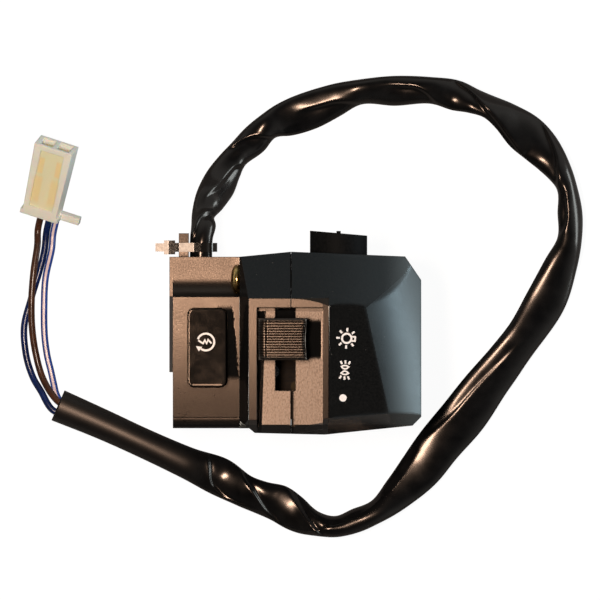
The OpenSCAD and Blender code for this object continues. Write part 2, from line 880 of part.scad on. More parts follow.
module slider_contact_board() {
    color([0.4, 0.25, 0.14])
    difference() {
        span([room_left + board_gap, room_bottom_y + board_gap, room_floor_z],
            [room_right - board_gap, room_top_y - board_gap, board_top_z]);
        for (y = tap_places) {
            rod_z(tap_x, y, room_floor_z - past, board_top_z + past, tap_r);
            rod_z(tap_x, y, board_top_z - tap_head_t, board_top_z + past, tap_head_r);
        }
    }
}

module slider_fixed_contacts() {
    color([0.8, 0.62, 0.35])
    for (i = [0 : 2])
        for (side = [-1, 1])
            rod_z(slot_x + side * contact_spread, carriage_y - i * slider_step, board_top_z,
                board_top_z + contact_h, contact_r);
}

// Small self-tapping screw with its seat at the origin
module tapping_screw(grip) {
    rod_z(0, 0, -grip - tap_depth, 0, tap_r);
    rod_z(0, 0, -tap_head_t, 0, tap_head_r);
}

module board_screws() {
    color([0.75, 0.75, 0.76])
    union() {
        for (y = tap_places)
            translate([tap_x, y, board_top_z])
                tapping_screw(board_t);
        for (y = base_tap_places)
            translate([start_x, y, base_top_z])
                tapping_screw(base_t);
    }
}

// Leads inside the housing: two to the start contacts and one across to the slider board
module inner_leads() {
    low_z = cable_z - low_lead_drop;
    color([0.15, 0.15, 0.4])
    union() {
        for (side = [-1, 1])
            lead([
                [cable_x + side * lead_spread, sleeve_start_y, cable_z],
                [cable_x + side * lead_spread, button_y + lead_turn, cable_z],
                [start_x + side * start_contact_spread, button_y + 1, base_z - lead_r - 0.2]
            ]);
        lead([
            [cable_x, sleeve_start_y, low_z],
            [cable_x, lead_cross_y + 2, low_z],
            [lead_riser_x - 0.6, lead_cross_y, low_z + 1],
            [lead_riser_x, lead_cross_y, lead_cross_z],
            [room_left - 0.1, lead_cross_y, lead_cross_z]
        ]);
    }
}

module lead(route) {
    cord(route, [for (p = route) lead_r], wire_side_count);
}

module cable_tie() {
    loop_left = tongue_right - tongue_t - tongue_gap;
    loop_r = tongue_h / 2 + tongue_gap;
    color([0.04, 0.04, 0.04])
    union() {
        translate([0, tie_y + tie_w, 0])
            rotate([90, 0, 0])
                linear_extrude(tie_w)
                    difference() {
                        tie_outline(loop_left - tie_t, loop_r + tie_t);
                        tie_outline(loop_left, loop_r);
                    }
        span([loop_left - tie_t - tie_head, tie_y - 0.7, cable_z - 2.2],
            [loop_left - tie_t + 0.1, tie_y + tie_w + 0.7, cable_z + 2.2]);
        span([loop_left - tie_t - tie_head - tie_tail, tie_y + 0.1, cable_z - 0.6],
            [loop_left - tie_t - tie_head + 0.1, tie_y + tie_w - 0.1, cable_z + 0.6]);
    }
}

// Flat on the tongue's side and round on the sleeve's side
module tie_outline(left, r) {
    translate([cable_x, cable_z])
        circle(r);
    translate([left, cable_z - r])
        square([cable_x - left, 2 * r]);
}

module cable_sleeve() {
    color([0.03, 0.03, 0.03])
    cord([for (p = sleeve_route) cord_point(p)], [for (p = sleeve_route) p[3]], sleeve_side_count);
}

module wire_brown() {
    color([0.3, 0.16, 0.08])
    wire(brown_route);
}

module wire_blue() {
    color([0.05, 0.07, 0.35])
    wire(blue_route);
}

module wire_striped() {
    color([0.25, 0.3, 0.7])
    wire(striped_route);
}

// Places the plug's own axes, with its length along Y, on the table
module at_plug() {
    translate(conn_foot)
        rotate([0, 0, -conn_turn])
            rotate([conn_pitch, 0, 0])
                rotate([0, -conn_roll, 0])
                    children();
}

module connector_housing() {
    color([0.88, 0.85, 0.74])
    at_plug()
        difference() {
            union() {
                linear_extrude(conn_t)
                    polygon([
                        [-conn_w / 2, 0],
                        [conn_w / 2, 0],
                        [conn_w / 2 + conn_flare / 2, conn_len],
                        [-conn_w / 2 - conn_flare / 2, conn_len]
                    ]);
                span([-conn_w / 2 - conn_rim_out, 0, 0], [conn_w / 2 + conn_rim_out, conn_rim_t, conn_t]);
                span([conn_w / 2 - past, 0, 1], [conn_w / 2 + conn_tab_reach, conn_tab_t, 1 + conn_tab_t]);
            }
            span([-conn_w / 2 + conn_border, conn_rim_t + conn_border, conn_t - conn_window_t],
                [conn_w / 2 - conn_border, conn_len - conn_border, conn_t + past]);
            for (side = [-1, 1]) {
                span([side * conn_way - conn_pocket_w / 2, conn_len - conn_pocket_len,
                        conn_t / 2 - conn_pocket_h / 2],
                    [side * conn_way + conn_pocket_w / 2, conn_len + past, conn_t / 2 + conn_pocket_h / 2]);
                span([side * conn_way - blade_w / 2, conn_rim_t, conn_t / 2 - blade_t / 2],
                    [side * conn_way + blade_w / 2, conn_len, conn_t / 2 + blade_t / 2]);
            }
        }
}

module connector_terminals() {
    color([0.8, 0.6, 0.3])
    at_plug()
        for (side = [-1, 1])
            span([side * conn_way - blade_w / 2, conn_rim_t, conn_t / 2 - blade_t / 2],
                [side * conn_way + blade_w / 2, conn_rim_t + blade_len, conn_t / 2 + blade_t / 2]);
}

// Places that several modules share
lead_r = 0.9;
lead_spread = 1.4;
lead_turn = 6;
low_lead_drop = 2.2;
lead_hole_r = 1.4;
lead_cross_up = 7;
lead_cross_y = button_y + lead_cross_up;
lead_cross_z = room_floor_z + 1.6;
lead_riser_x = start_room_right - 1.5;
ball_y = carriage_y;
ball_travel_low = ball_y - slider_travel;
tap_edge = 2.4;
tap_places = [room_top_y - tap_edge, carriage_y - 1.5 * slider_step];
base_tap_places = [start_room_top_y - tap_edge, start_room_bottom_y + tap_edge];

button_half();
lamp_half();
end_plug();
clamp_screws();
thread_inserts();
start_button();
start_contact_bridge();
start_return_spring();
start_contact_base();
start_fixed_contacts();
slider_knob();
slider_carriage();
detent_ball();
detent_spring();
slider_contact_bridge();
slider_contact_spring();
slider_contact_board();
slider_fixed_contacts();
board_screws();
inner_leads();
cable_tie();
cable_sleeve();
wire_brown();
wire_blue();
wire_striped();
connector_housing();
connector_terminals();
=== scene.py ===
# %% [markdown]
# # A handlebar switch cluster, dressed for a photograph
# The part is a black two-half housing that clamps round a motorbike's bar. It carries a start
# button, a ribbed light slider, printed marks and a short lead in a soft sleeve. The solid
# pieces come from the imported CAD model. This lesson adds what the solids leave out: the
# collapsed, twisted sleeve, the three wires, the printed marks and the finish of every surface.

import bpy
import numpy as np
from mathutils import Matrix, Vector


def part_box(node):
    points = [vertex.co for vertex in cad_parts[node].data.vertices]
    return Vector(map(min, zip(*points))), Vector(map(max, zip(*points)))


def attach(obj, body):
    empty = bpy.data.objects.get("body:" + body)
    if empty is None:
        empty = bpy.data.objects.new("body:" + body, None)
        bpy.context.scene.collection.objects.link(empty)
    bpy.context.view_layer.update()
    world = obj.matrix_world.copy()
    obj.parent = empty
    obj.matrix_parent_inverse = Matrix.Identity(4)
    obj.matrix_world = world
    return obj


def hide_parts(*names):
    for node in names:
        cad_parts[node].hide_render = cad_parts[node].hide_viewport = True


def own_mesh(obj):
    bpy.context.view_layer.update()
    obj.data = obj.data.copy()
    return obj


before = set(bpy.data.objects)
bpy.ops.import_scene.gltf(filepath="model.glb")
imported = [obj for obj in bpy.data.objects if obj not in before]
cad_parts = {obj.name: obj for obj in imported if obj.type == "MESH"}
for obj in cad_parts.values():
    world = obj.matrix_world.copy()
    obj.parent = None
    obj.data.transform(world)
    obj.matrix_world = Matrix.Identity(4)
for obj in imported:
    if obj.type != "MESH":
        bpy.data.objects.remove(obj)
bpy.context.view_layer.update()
MM = 0.001

# %% [markdown]
# ## The camera
# The picture was taken from straight above, along the axis that the CAD calls Z, with the bar's
# direction upwards. A long lens far away gives nearly parallel rays, so 168 mm of the table
# fill the frame whatever a piece's height is.

# %% Camera straight above the table
TABLE_Z = -20.5 * MM
VIEW_WIDTH = 168 * MM
CAMERA_DISTANCE = 8.0

camera_data = bpy.data.cameras.new("camera_above")
camera_data.sensor_width = 36
camera_data.lens = camera_data.sensor_width * CAMERA_DISTANCE / VIEW_WIDTH
camera_data.clip_end = 20
camera = bpy.data.objects.new("camera_above", camera_data)
camera.location = (2.52 * MM, 12.32 * MM, CAMERA_DISTANCE)
bpy.context.scene.collection.objects.link(camera)
bpy.context.scene.camera = camera
print("lens in mm:", round(camera_data.lens))

# %% [markdown]
# ## From a grid of points to a mesh
# Every new piece below is a surface: a table of points with one row per step along the piece
# and one column per step around it. One helper turns such a table into quads, and closes it
# with a point at each end, so the rest of the lesson only has to say where the points lie.

# %% Grid helper
def grid_mesh(name, points):
    """Quads between neighbouring rows of a (rows, columns, 3) table whose columns close into
    rings. The first and the last row each shrink to their mean, which closes the ends. The UV
    map holds the share of the way round and the share of the way along."""
    rows, cols = points.shape[:2]
    first = np.repeat(points[:1].mean(axis=1, keepdims=True), cols, axis=1)
    last = np.repeat(points[-1:].mean(axis=1, keepdims=True), cols, axis=1)
    body = points.reshape(-1, 3)
    verts = np.concatenate([body, first[0, :1], last[0, :1]])
    r, c = np.meshgrid(np.arange(rows - 1), np.arange(cols), indexing="ij")
    near, far = r * cols, (r + 1) * cols
    nxt = (c + 1) % cols
    quads = np.stack([near + c, near + nxt, far + nxt, far + c], axis=-1).reshape(-1, 4)
    k = np.arange(cols)
    start, end = rows * cols, rows * cols + 1
    cap_a = np.stack([np.full(cols, start), (k + 1) % cols, k], axis=-1)
    base = (rows - 1) * cols
    cap_b = np.stack([np.full(cols, end), base + k, base + (k + 1) % cols], axis=-1)
    mesh = bpy.data.meshes.new(name)
    mesh.from_pydata(verts.tolist(), [], quads.tolist() + cap_a.tolist() + cap_b.tolist())
    u = (c / cols, (c + 1) / cols)
    v = (r / (rows - 1), (r + 1) / (rows - 1))
    uv_quads = np.stack([u[0], v[0], u[1], v[0], u[1], v[1], u[0], v[1]], axis=-1).reshape(-1)
    uv_a = np.stack([k / cols, 0 * k, (k + 1) / cols, 0 * k, k / cols, 0 * k], axis=-1).reshape(-1)
    uv_b = np.stack([k / cols, 0 * k + 1, k / cols, 0 * k + 1, (k + 1) / cols, 0 * k + 1],
                    axis=-1).reshape(-1)
    layer = mesh.uv_layers.new(name="UVMap")
    layer.data.foreach_set("uv", np.concatenate([uv_quads, uv_a, uv_b]).astype(np.float32))
    mesh.polygons.foreach_set("use_smooth", np.ones(len(mesh.polygons), dtype=bool))
    mesh.update()
    return mesh


def add_piece(name, mesh, body):
    """Link a mesh as an object at the origin that rides on one of the CAD bodies."""
    piece = bpy.data.objects.new(name, mesh)
    bpy.context.scene.collection.objects.link(piece)
    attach(piece, body)
    return piece


# %% [markdown]
# ## A smooth path
# The sleeve and the wires follow a few chosen points. A Catmull-Rom spline passes through all
# of them, and its direction at a point is taken from the two neighbours, so the path has no
# corner. The same formula also carries values such as width and twist along the path.

# %% Spline helper
def spline(values, steps):
    """Catmull-Rom curve through the rows of values, with that many steps between two rows.
    Between rows b and c, with neighbours a and d, the value at t is
    0.5 (2b + (c - a) t + (2a - 5b + 4c - d) t^2 + (3b - a - 3c + d) t^3)."""
    p = np.asarray(values, dtype=float)
    full = np.concatenate([2 * p[:1] - p[1:2], p, 2 * p[-1:] - p[-2:-1]])
    a, b, c, d = (full[i:len(full) - 3 + i, None, :] for i in range(4))
    t = (np.arange(steps) / steps)[None, :, None]
    curve = 0.5 * (2 * b + (c - a) * t + (2 * a - 5 * b + 4 * c - d) * t ** 2
                   + (3 * b - a - 3 * c + d) * t ** 3)
    return np.concatenate([curve.reshape(-1, p.shape[1]), p[-1:]])


def path_frame(path):
    """Direction of a path, the level line to its left and the line square to both."""
    along = np.gradient(path, axis=0)
    along /= np.linalg.norm(along, axis=1, keepdims=True)
    left = np.stack([-along[:, 1], along[:, 0], np.zeros(len(along))], axis=1)
    left /= np.linalg.norm(left, axis=1, keepdims=True)
    return along, left, np.cross(along, left)


def path_length(path):
    """Sum of the distances between neighbouring points."""
    return float(np.linalg.norm(np.diff(path, axis=0), axis=1).sum())


# %% [markdown]
# ## The sleeve
# The lead runs in a soft plastic sleeve. Twisted and bent, it has buckled: folds start near its
# outer edge, run slantwise across the top and end in a notch at the inner edge. A sleeve like
# that is a profile carried along a path: an ellipse whose width, thickness and lean change on
# the way. Carrying it with numpy keeps each fold where the picture has it, while a cloth
# simulation would put the folds elsewhere on every change.

# %% Route, width, thickness and lean of the sleeve
SLEEVE_ROUTE = np.array([
    (-25.2, 18.4, 0.5), (-25.2, 24.8, 0.5), (-25.2, 31, 0.5), (-24.5, 37, -4), (-21.5, 44, -10),
    (-17.5, 50, -14), (-12.5, 55, -16), (-6, 60.5, -16), (1.5, 64.5, -16), (10, 67.5, -16),
    (19, 70, -16), (29, 71, -16), (39, 71, -16), (47, 69.5, -16), (55, 66, -16),
    (62, 61.5, -16), (68.5, 57, -16), (73.5, 51.5, -16), (77, 45, -16), (78.5, 37, -16),
    (78, 29, -16), (75.5, 21, -16), (72, 12.5, -16), (67, 4, -16), (60.5, -4.5, -16),
    (54, -12.5, -16), (47.5, -21.5, -16), (42, -29, -16), (37, -35.5, -16), (31.5, -41, -16),
    (25, -46, -16), (18, -49, -16), (11, -50.5, -16), (4, -49.5, -16), (-4, -45.5, -16),
    (-12, -41.5, -16), (-20, -37, -16), (-29, -33, -16), (-41, -28, -16), (-53, -23, -16),
    (-65.5, -17.5, -16),
])

# Place along the route, then in mm: half width seen from above, shift to the left, half
# thickness, and lean, by which the left edge stands higher than the middle
SLEEVE_FORM = np.array([
    (0, 3.2, 0, 3.2, 0), (1.8, 3.2, -0.2, 3.1, 0), (2.4, 3.45, -0.6, 2.9, 0),
    (2.9, 3.25, -0.1, 2.6, 0.45), (3.5, 4.3, -0.5, 3.1, 0.95), (4.2, 4.8, -0.8, 2.8, 1.12),
    (5, 4.1, -0.3, 3.2, 1.07), (5.5, 3.6, 0.2, 3.6, 0.93), (6.4, 4.15, 0.2, 3.2, 0.88),
    (7, 3.8, 0.65, 3.5, 1), (7.5, 4.8, 0, 2.8, 1.15), (8.4, 5.35, -0.45, 2.5, 1.3),
    (9.3, 4.6, 0.1, 2.9, 1.3), (10, 3.55, 0.6, 3.6, 1.37), (11, 4.2, 0, 3.1, 1.5),
    (12, 3.75, 0.15, 3.5, 1), (13, 4.25, 0, 3.1, -0.5), (13.5, 3.6, 0.2, 3.6, -1.05),
    (14, 3.35, 0.7, 3.6, -1.6), (14.6, 4.2, 0.8, 3.1, -1.68), (15.4, 5.6, 0.1, 2.4, -1.79),
    (16.3, 5.3, -0.3, 2.5, -1), (17, 4.4, -0.35, 3, 0), (17.6, 3.5, -0.2, 3.6, -0.18),
    (18.1, 2.9, 0.05, 3.6, -0.35), (19, 3.5, -0.25, 3.6, -0.8), (20, 3.5, 0.1, 3.6, -0.6),
    (20.8, 4.6, -0.2, 2.9, -0.92), (22, 5.7, -0.3, 2.3, -1.07), (23.4, 5.2, -0.35, 2.5, -1.16),
    (24.5, 5.75, -0.05, 2.3, -1.16), (25.7, 6.5, 0.05, 2.3, -1.06), (27, 6.3, -0.8, 2.3, -0.25),
    (28, 6, -0.75, 2.3, 0.2), (29.2, 4.7, -0.35, 2.8, 0.36), (30.2, 3.3, 0.4, 3.6, 0.83),
    (31, 3.4, 0.6, 3.6, 0.93), (31.7, 3, 0.9, 3.6, 0.95), (32.5, 3.4, 0.2, 3.6, 0.73),
    (33.5, 5, -0.65, 2.6, 0.1), (34, 5.2, -0.95, 2.5, -0.4), (34.6, 4.7, -0.2, 2.8, -0.36),
    (35.1, 4.6, 0.3, 2.9, -0.33), (36, 5.4, 0.25, 2.4, 0), (37, 4.5, 0.4, 3.6, 0.15),
    (38, 4.15, 0, 4.05, 0), (39, 4.25, -0.45, 4.1, 0), (40, 4.6, -0.3, 4.1, 0),
])
ROUTE_STEPS = 24
sleeve_path = spline(SLEEVE_ROUTE, ROUTE_STEPS)
sleeve_place = np.arange(len(sleeve_path)) / ROUTE_STEPS


def smooth_table(place, table):
    """Values of a table at any place: a cubic between two entries whose slope at each entry is
    that of the line through its neighbours (a cubic Hermite curve)."""
    x, y = table[:, 0], table[:, 1:]
    slope = np.gradient(y, x, axis=0)
    k = np.clip(np.searchsorted(x, place, side="right") - 1, 0, len(x) - 2)
    h = (x[k + 1] - x[k])[:, None]
    t = (place[:, None] - x[k][:, None]) / h
    return ((2 * t ** 3 - 3 * t ** 2 + 1) * y[k] + (t ** 3 - 2 * t ** 2 + t) * h * slope[k]
            + (3 * t ** 2 - 2 * t ** 3) * y[k + 1] + (t ** 3 - t ** 2) * h * slope[k + 1])


half_width, shift, half_thick, lean = smooth_table(sleeve_place, SLEEVE_FORM).T
print("stations along the sleeve:", len(sleeve_path))

# %% [markdown]
# Each fold is a line on the top of the sleeve with a round crest on its outer side and a steep
# drop into a valley on its inner side. It is written down as a depth and a few points of the
# crest: a place along the route and how far to the left of the middle, in mm.

# %% Folds
FOLDS = [
    (1.8, [(1.4, 3.4), (2.0, 1.6), (2.4, 0.5), (2.7, -1.3), (3.0, -3.4), (3.3, -6)]),
    (1.6, [(3.4, 0.5), (3.8, -1.0), (4.2, -1.5), (4.6, -1.6), (5.0, -1.9), (5.3, -3.2), (5.6, -6)]),
    (1.8, [(5.0, 5), (5.5, 3.1), (5.9, 2.5), (6.2, 1.8), (6.5, 0.5), (6.7, -1.1), (6.9, -2.9), (7.2, -6)]),
    (1.6, [(8.3, 0), (8.8, -0.3), (9.2, -0.5), (9.6, -1.5), (10.0, -3.0), (10.4, -6)]),
    (1.7, [(10.9, 1.4), (11.2, 1.1), (11.6, 0.6), (11.9, -0.9), (12.2, -3.2), (12.6, -6)]),
    (2.2, [(12.5, 5), (12.9, 3.4), (13.4, 1.9), (13.8, 0.2), (14.5, -1.8), (15.4, -4.5), (15.9, -6)]),
    (1.8, [(15.8, 5), (16.3, 3.2), (16.8, 1.6), (17.3, -0.4), (17.9, -2.5), (18.3, -5)]),
    (1.4, [(18.3, -1.0), (18.6, -1.2), (19.0, -1.2), (19.4, -1.6), (19.8, -2.8), (20.2, -6)]),
    (0.5, [(23.6, -0.4), (24.4, -1.2), (25.2, -2.0), (26.0, -3.0), (26.9, -5.2), (27.4, -7)]),
    (0.7, [(27.2, -6), (28.6, -3.7), (30.1, -2.0), (30.7, -1.0), (31.4, -0.3), (32.2, 1.0), (32.6, 2)]),
    (1.9, [(31.9, 5.5), (32.3, 3.4), (32.6, 1.3), (33.2, -2.2), (33.7, -4.9), (34.1, -7)]),
    (1.9, [(33.3, 5.5), (33.7, 3.9), (34.3, 2.0), (34.9, -1.2), (35.4, -3.6), (35.8, -7)]),
    (1.5, [(34.8, 3.5), (35.2, 4.2), (35.8, 4.0), (36.2, 2.0), (36.4, -1.5), (36.6, -5)]),
]
FOLD_EDGE = 0.6
LONG_FOLD_EDGE = 0.7
FOLD_REACH = 1.8


def ramp(value, low, high):
    """0 below low, 1 above high and t^2 (3 - 2t) between."""
    t = np.clip((value - low) / (high - low), 0, 1)
    return t * t * (3 - 2 * t)


def folded(place, level):
    """Height added by the folds: each adds half its depth times tanh(t / edge) exp(-|t| / reach),
    where t is how far the point lies to the left of the crest. Shallow folds have a wider edge."""
    height = np.zeros_like(level)
    for depth, crest in FOLDS:
        crest = np.array(crest)
        line = smooth_table(np.clip(place, crest[0, 0], crest[-1, 0]), crest)
        first, last = crest[0, 0], crest[-1, 0]
        fade = ramp(place, first - 0.4, first + 0.4) * ramp(-place, -last - 0.2, -last)
        t = level - line
        edge = LONG_FOLD_EDGE if depth < 1.2 else FOLD_EDGE
        height += depth / 2 * fade[:, None] * np.tanh(t / edge) * np.exp(-np.abs(t) / FOLD_REACH)
    return height


print("folds:", len(FOLDS))

# %% [markdown]
# The widths were read off the picture, seen from above. Each ring is let down until its lowest
# point lies on the table; only the first stretch still hangs from the housing. The top of the
# ring gets three times as many points as the underside, because only the top is folded.

# %% Carry the profile along the path
TOP_POINTS, UNDER_POINTS = 72, 24
landed = ramp(sleeve_place, 3.5, 6.5)


def sleeve_surface(path, rows, wall):
    """An ellipse carried along a path. Round the ring, the point at angle q lies wide cos q to the
    left and thick sin q + lean cos q up, plus the folds where it is on top."""
    q = np.concatenate([np.linspace(0, np.pi, TOP_POINTS, endpoint=False),
                        np.linspace(np.pi, 2 * np.pi, UNDER_POINTS, endpoint=False)])[None, :]
    wide, thick, tilt = half_width[rows, None] - wall, half_thick[rows, None] - wall, lean[rows, None]
    level = shift[rows, None] + wide * np.cos(q)
    height = thick * np.sin(q) + tilt * np.cos(q)
    height += folded(sleeve_place[rows], level) * np.clip(np.sin(q), 0, 1) ** 0.6
    _, left, up = path_frame(path)
    ring = path[:, None, :] + level[..., None] * left[:, None, :] + height[..., None] * up[:, None, :]
    on_table = TABLE_Z / MM + 0.05 + wall + height - height.min(axis=1, keepdims=True)
    ring[..., 2] += landed[rows, None] * (on_table - ring[..., 2])
    return ring * MM


every = np.arange(len(sleeve_path))
outer = sleeve_surface(sleeve_path, every, 0.0)

# %% [markdown]
# The mouth is cut square and open. The table of rings goes on past the cut: it steps inwards by
# the wall and runs back inside, so the same closed mesh has an outer skin, a rim and a bore.

# %% Mouth, bore and the finished sleeve
SLEEVE_WALL = 0.55
BORE_STATIONS = 60
inner = sleeve_surface(sleeve_path[-BORE_STATIONS:], every[-BORE_STATIONS:], SLEEVE_WALL)[::-1]
sleeve = add_piece("sleeve", grid_mesh("sleeve", np.concatenate([outer, inner])), "housing")
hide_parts("cable_sleeve")
print("sleeve triangles:", 2 * len(sleeve.data.polygons))

# %% [markdown]
# ## The three wires
# Brown, dark blue and striped wires leave the mouth, hang to the table and rise into the plug.
# Each is a plain round tube along its own path. They start a little inside the mouth, so the
# sleeve seems to hold them.

# %% Wires from the mouth to the plug
WIRE_D = 1.9
FLAT = -20.5 + WIRE_D / 2
LIE = -16.0
WIRE_ROUTES = {
    "wire_brown": [
        (-60.5, -18.6, LIE + 1.2), (-65.6, -15.9, LIE + 0.6), (-69.5, -10, FLAT + 1.6),
        (-71.6, -2.9, FLAT + 0.8), (-72.7, 4.9, FLAT + 1.6), (-72.8, 12.7, FLAT + 2.25),
        (-72.2, 20.5, FLAT + 2.2), (-71.2, 27.5, FLAT + 1.4), (-71.04, 32.07, -18.85),
        (-70.0, 36.74, -16.52)],
    "wire_blue": [
        (-61.0, -20.3, LIE), (-66.8, -18.6, LIE), (-70.2, -13.2, FLAT + 2), (-72.6, -9, FLAT + 0.4),
        (-74.4, -2.9, FLAT), (-74.9, 4.9, FLAT), (-73, 12.5, FLAT), (-70.6, 20.5, FLAT),
        (-69.2, 26.3, FLAT + 0.4), (-68.65, 31.3, -18.37), (-67.62, 35.97, -16.04)],
    "wire_striped": [
        (-60.5, -19.6, LIE - 1.6), (-63.9, -17.6, LIE - 1.8), (-65.8, -14.3, LIE - 2.4),
        (-66.6, -11.2, FLAT + 0.4), (-67.4, -7.6, FLAT), (-68.5, -2.9, FLAT), (-69.2, 2.9, FLAT),
        (-69.3, 10.7, FLAT), (-68.9, 18.5, FLAT), (-67.2, 26.3, FLAT + 1.6), (-66.78, 30.7, -18.0),
        (-65.75, 35.37, -15.67)],
}
WIRE_SIDES = 24


def round_tube(path, radius):
    """A circle carried along a path: at angle q the point lies radius cos q to the left and
    radius sin q up."""
    q = np.linspace(0, 2 * np.pi, WIRE_SIDES, endpoint=False)
    _, left, up = path_frame(path)
    return (path[:, None, :] + radius * np.cos(q)[None, :, None] * left[:, None, :]
            + radius * np.sin(q)[None, :, None] * up[:, None, :])


wires = {}
for wire_name, route in WIRE_ROUTES.items():
    path = spline(np.array(route), 12) * MM
    path[:, 2] = np.maximum(path[:, 2], (FLAT + 0.02) * MM)
    skin = round_tube(path, WIRE_D / 2 * MM)
    wire = add_piece("lead_" + wire_name, grid_mesh(wire_name, skin), "housing")
    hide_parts(wire_name)
    wires[wire_name] = wire
    print(wire_name, "length in mm:", round(path_length(path) / MM, 1))

# %% [markdown]
# ## The ribbed knob
# The slider's knob is a moulded cap with thirteen fine ribs across a thumb hollow. The CAD knob
# has plain ribs; here each rib has a level crest, which draws one bright line under the lamp,
# and a V-shaped groove beside it, which stays dark. The knob is a section carried from its left
# end to its right end: a flat underside, two walls, two lips and the ribbed hollow.

# %% Section of the knob
KNOB_LOW, KNOB_HIGH = (np.array(corner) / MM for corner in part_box("slider_knob"))
RIBS = 13
RIB_DEPTH = 0.6
HOLLOW = 1.0
LIP = 1.15
CREST_HALF, GROOVE_HALF = 0.17, 0.33


def knob_section(middle, half, floor, top):
    """Closed line (y, z) round the knob: up one wall, over a rounded lip, across the hollow and
    down the other wall. A rib at share s from -1 to 1 has a level crest HOLLOW (1 - s^2) under
    the lips, and a V-shaped groove of depth RIB_DEPTH parts it from the next."""
    s = np.linspace(-1, 1, RIBS * 20 + 1)
    rib = np.clip(np.floor((s + 1) / 2 * RIBS), 0, RIBS - 1)
    centre = (rib + 0.5) / RIBS * 2 - 1
    groove = np.clip((np.abs(s - centre) * RIBS / 2 - CREST_HALF) / GROOVE_HALF, 0, 1)
    crest = top - 0.15 - HOLLOW * (1 - centre ** 2) - RIB_DEPTH * groove
    across = np.stack([s * (half - LIP), crest], axis=1)
    q = np.radians(np.linspace(0, 90, 9))
    lip = np.stack([half - 0.9 + 0.9 * np.cos(q), top - 0.9 + 0.9 * np.sin(q)], axis=1)
    wall = np.stack([np.full(6, half), np.linspace(floor, top - 1.0, 6)], axis=1)
    far = np.concatenate([wall, lip])
    near = far[::-1] * (-1, 1)
    line = np.concatenate([far, across[::-1], near])
    return line + (middle, 0)


knob_line = knob_section((KNOB_LOW[1] + KNOB_HIGH[1]) / 2, (KNOB_HIGH[1] - KNOB_LOW[1]) / 2,
                         KNOB_LOW[2], KNOB_HIGH[2])
print("points round the knob:", len(knob_line))

# %% [markdown]
# The left end has a narrow groove and then rounds off downwards, and the right end is hollowed
# where the thumb pushes. Both follow from the place along the knob: the left end lowers the top
# there, and the right end draws the last part of the section back in the middle.

# %% Carry the section from left to right
END_ROUND = 2.2
END_DROP = 1.9
GROOVE = 0.5
END_HOLLOW = 0.9


def knob_surface(line, left, right):
    """The section carried along x. Its top sinks by END_DROP times one minus the root of
    1 - t^2 towards the left end, with a narrow groove where that begins; its right end lies
    END_HOLLOW (1 - v^2) further in at the middle of the knob's length."""
    middle = (line[:, 0].max() + line[:, 0].min()) / 2
    v = (line[:, 0] - middle) / (line[:, 0].max() - middle)
    stop = right - END_HOLLOW * (1 - v ** 2)
    share = np.concatenate([np.linspace(0, 0.22, 40)[:-1], np.linspace(0.22, 0.9, 12)[:-1],
                            np.linspace(0.9, 1, 10)])[:, None]
    x = left + share * (stop - left)[None, :]
    t = np.clip((left + END_ROUND - x) / END_ROUND, 0, 1)
    sink = END_DROP * (1 - np.sqrt(1 - 0.97 * t ** 2))
    sink += GROOVE * np.exp(-((x - left - END_ROUND) / 0.16) ** 2)
    ease = np.clip((share - 0.955) / 0.045, 0, 1)
    sink += 0.5 * (1 - np.sqrt(1 - 0.98 * ease ** 2))
    low, high = line[:, 1].min(), line[:, 1].max()
    z = line[:, 1] - sink * np.clip((line[:, 1] - low) / (high - low), 0, 1) ** 2
    y = np.broadcast_to(line[:, 0], x.shape)
    return np.stack([x, y, z], axis=-1)


knob_skin = knob_surface(knob_line, KNOB_LOW[0], KNOB_HIGH[0]) * MM
knob = add_piece("knob_ribbed", grid_mesh("knob_ribbed", knob_skin), "light_slider")
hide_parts("slider_knob")
print("knob triangles:", 2 * len(knob.data.polygons))

# %% [markdown]
# ## Inside the joint
# The two halves meet with a small gap, and a lip on one half keeps light and rain out of it.
# Two thin bars lie where that lip is, a little under the outer faces, so the joint shows as a
# fine dark line and not as a slit that one can look through.

# %% Lip in the joint
LIP_HALF = 0.045


def joint_lip(line):
    """A thin upright bar carried along a line (y, z): LIP_HALF to each side, 1.5 mm tall."""
    y, z = np.asarray(line, dtype=float).T
    corners = [(-LIP_HALF, -1.5), (LIP_HALF, -1.5), (LIP_HALF, 0.0), (-LIP_HALF, 0.0)]
    edges = [np.stack([np.full(len(y), dx), y, z + dz], axis=1) for dx, dz in corners]
    return np.stack(edges, axis=1)


lips = {
    "joint_lip_front": [(9.1, 31.4), (12.6, 31.4), (19, 28.1), (25.2, 25.0)],
    "joint_lip_end": [(-25.0, 20.0), (-24.4, 24.0), (-23.6, 25.5), (-22.6, 26.2)],
}
joint_pieces = [add_piece(name, grid_mesh(name, joint_lip(line) * MM), "housing")
                for name, line in lips.items()]
print("joint bars:", [p.name for p in joint_pieces])

# %% [markdown]
# ## Screw heads
# The brass screws have a low round head with a straight rim and a slot. The head of the CAD model
# is covered by a finer skin: a half profile swung round the screw's axis, so that the rim, the
# dome and the sides of the slot shade smoothly.

# %% Domed screw heads
HEAD_R, HEAD_RIM, HEAD_T = 4.06, 0.9, 2.56
SLOT_HALF, SLOT_LONG, SLOT_DEEP = 0.5, 2.4, 1.06
HEAD_ROWS, HEAD_SIDES = 60, 160


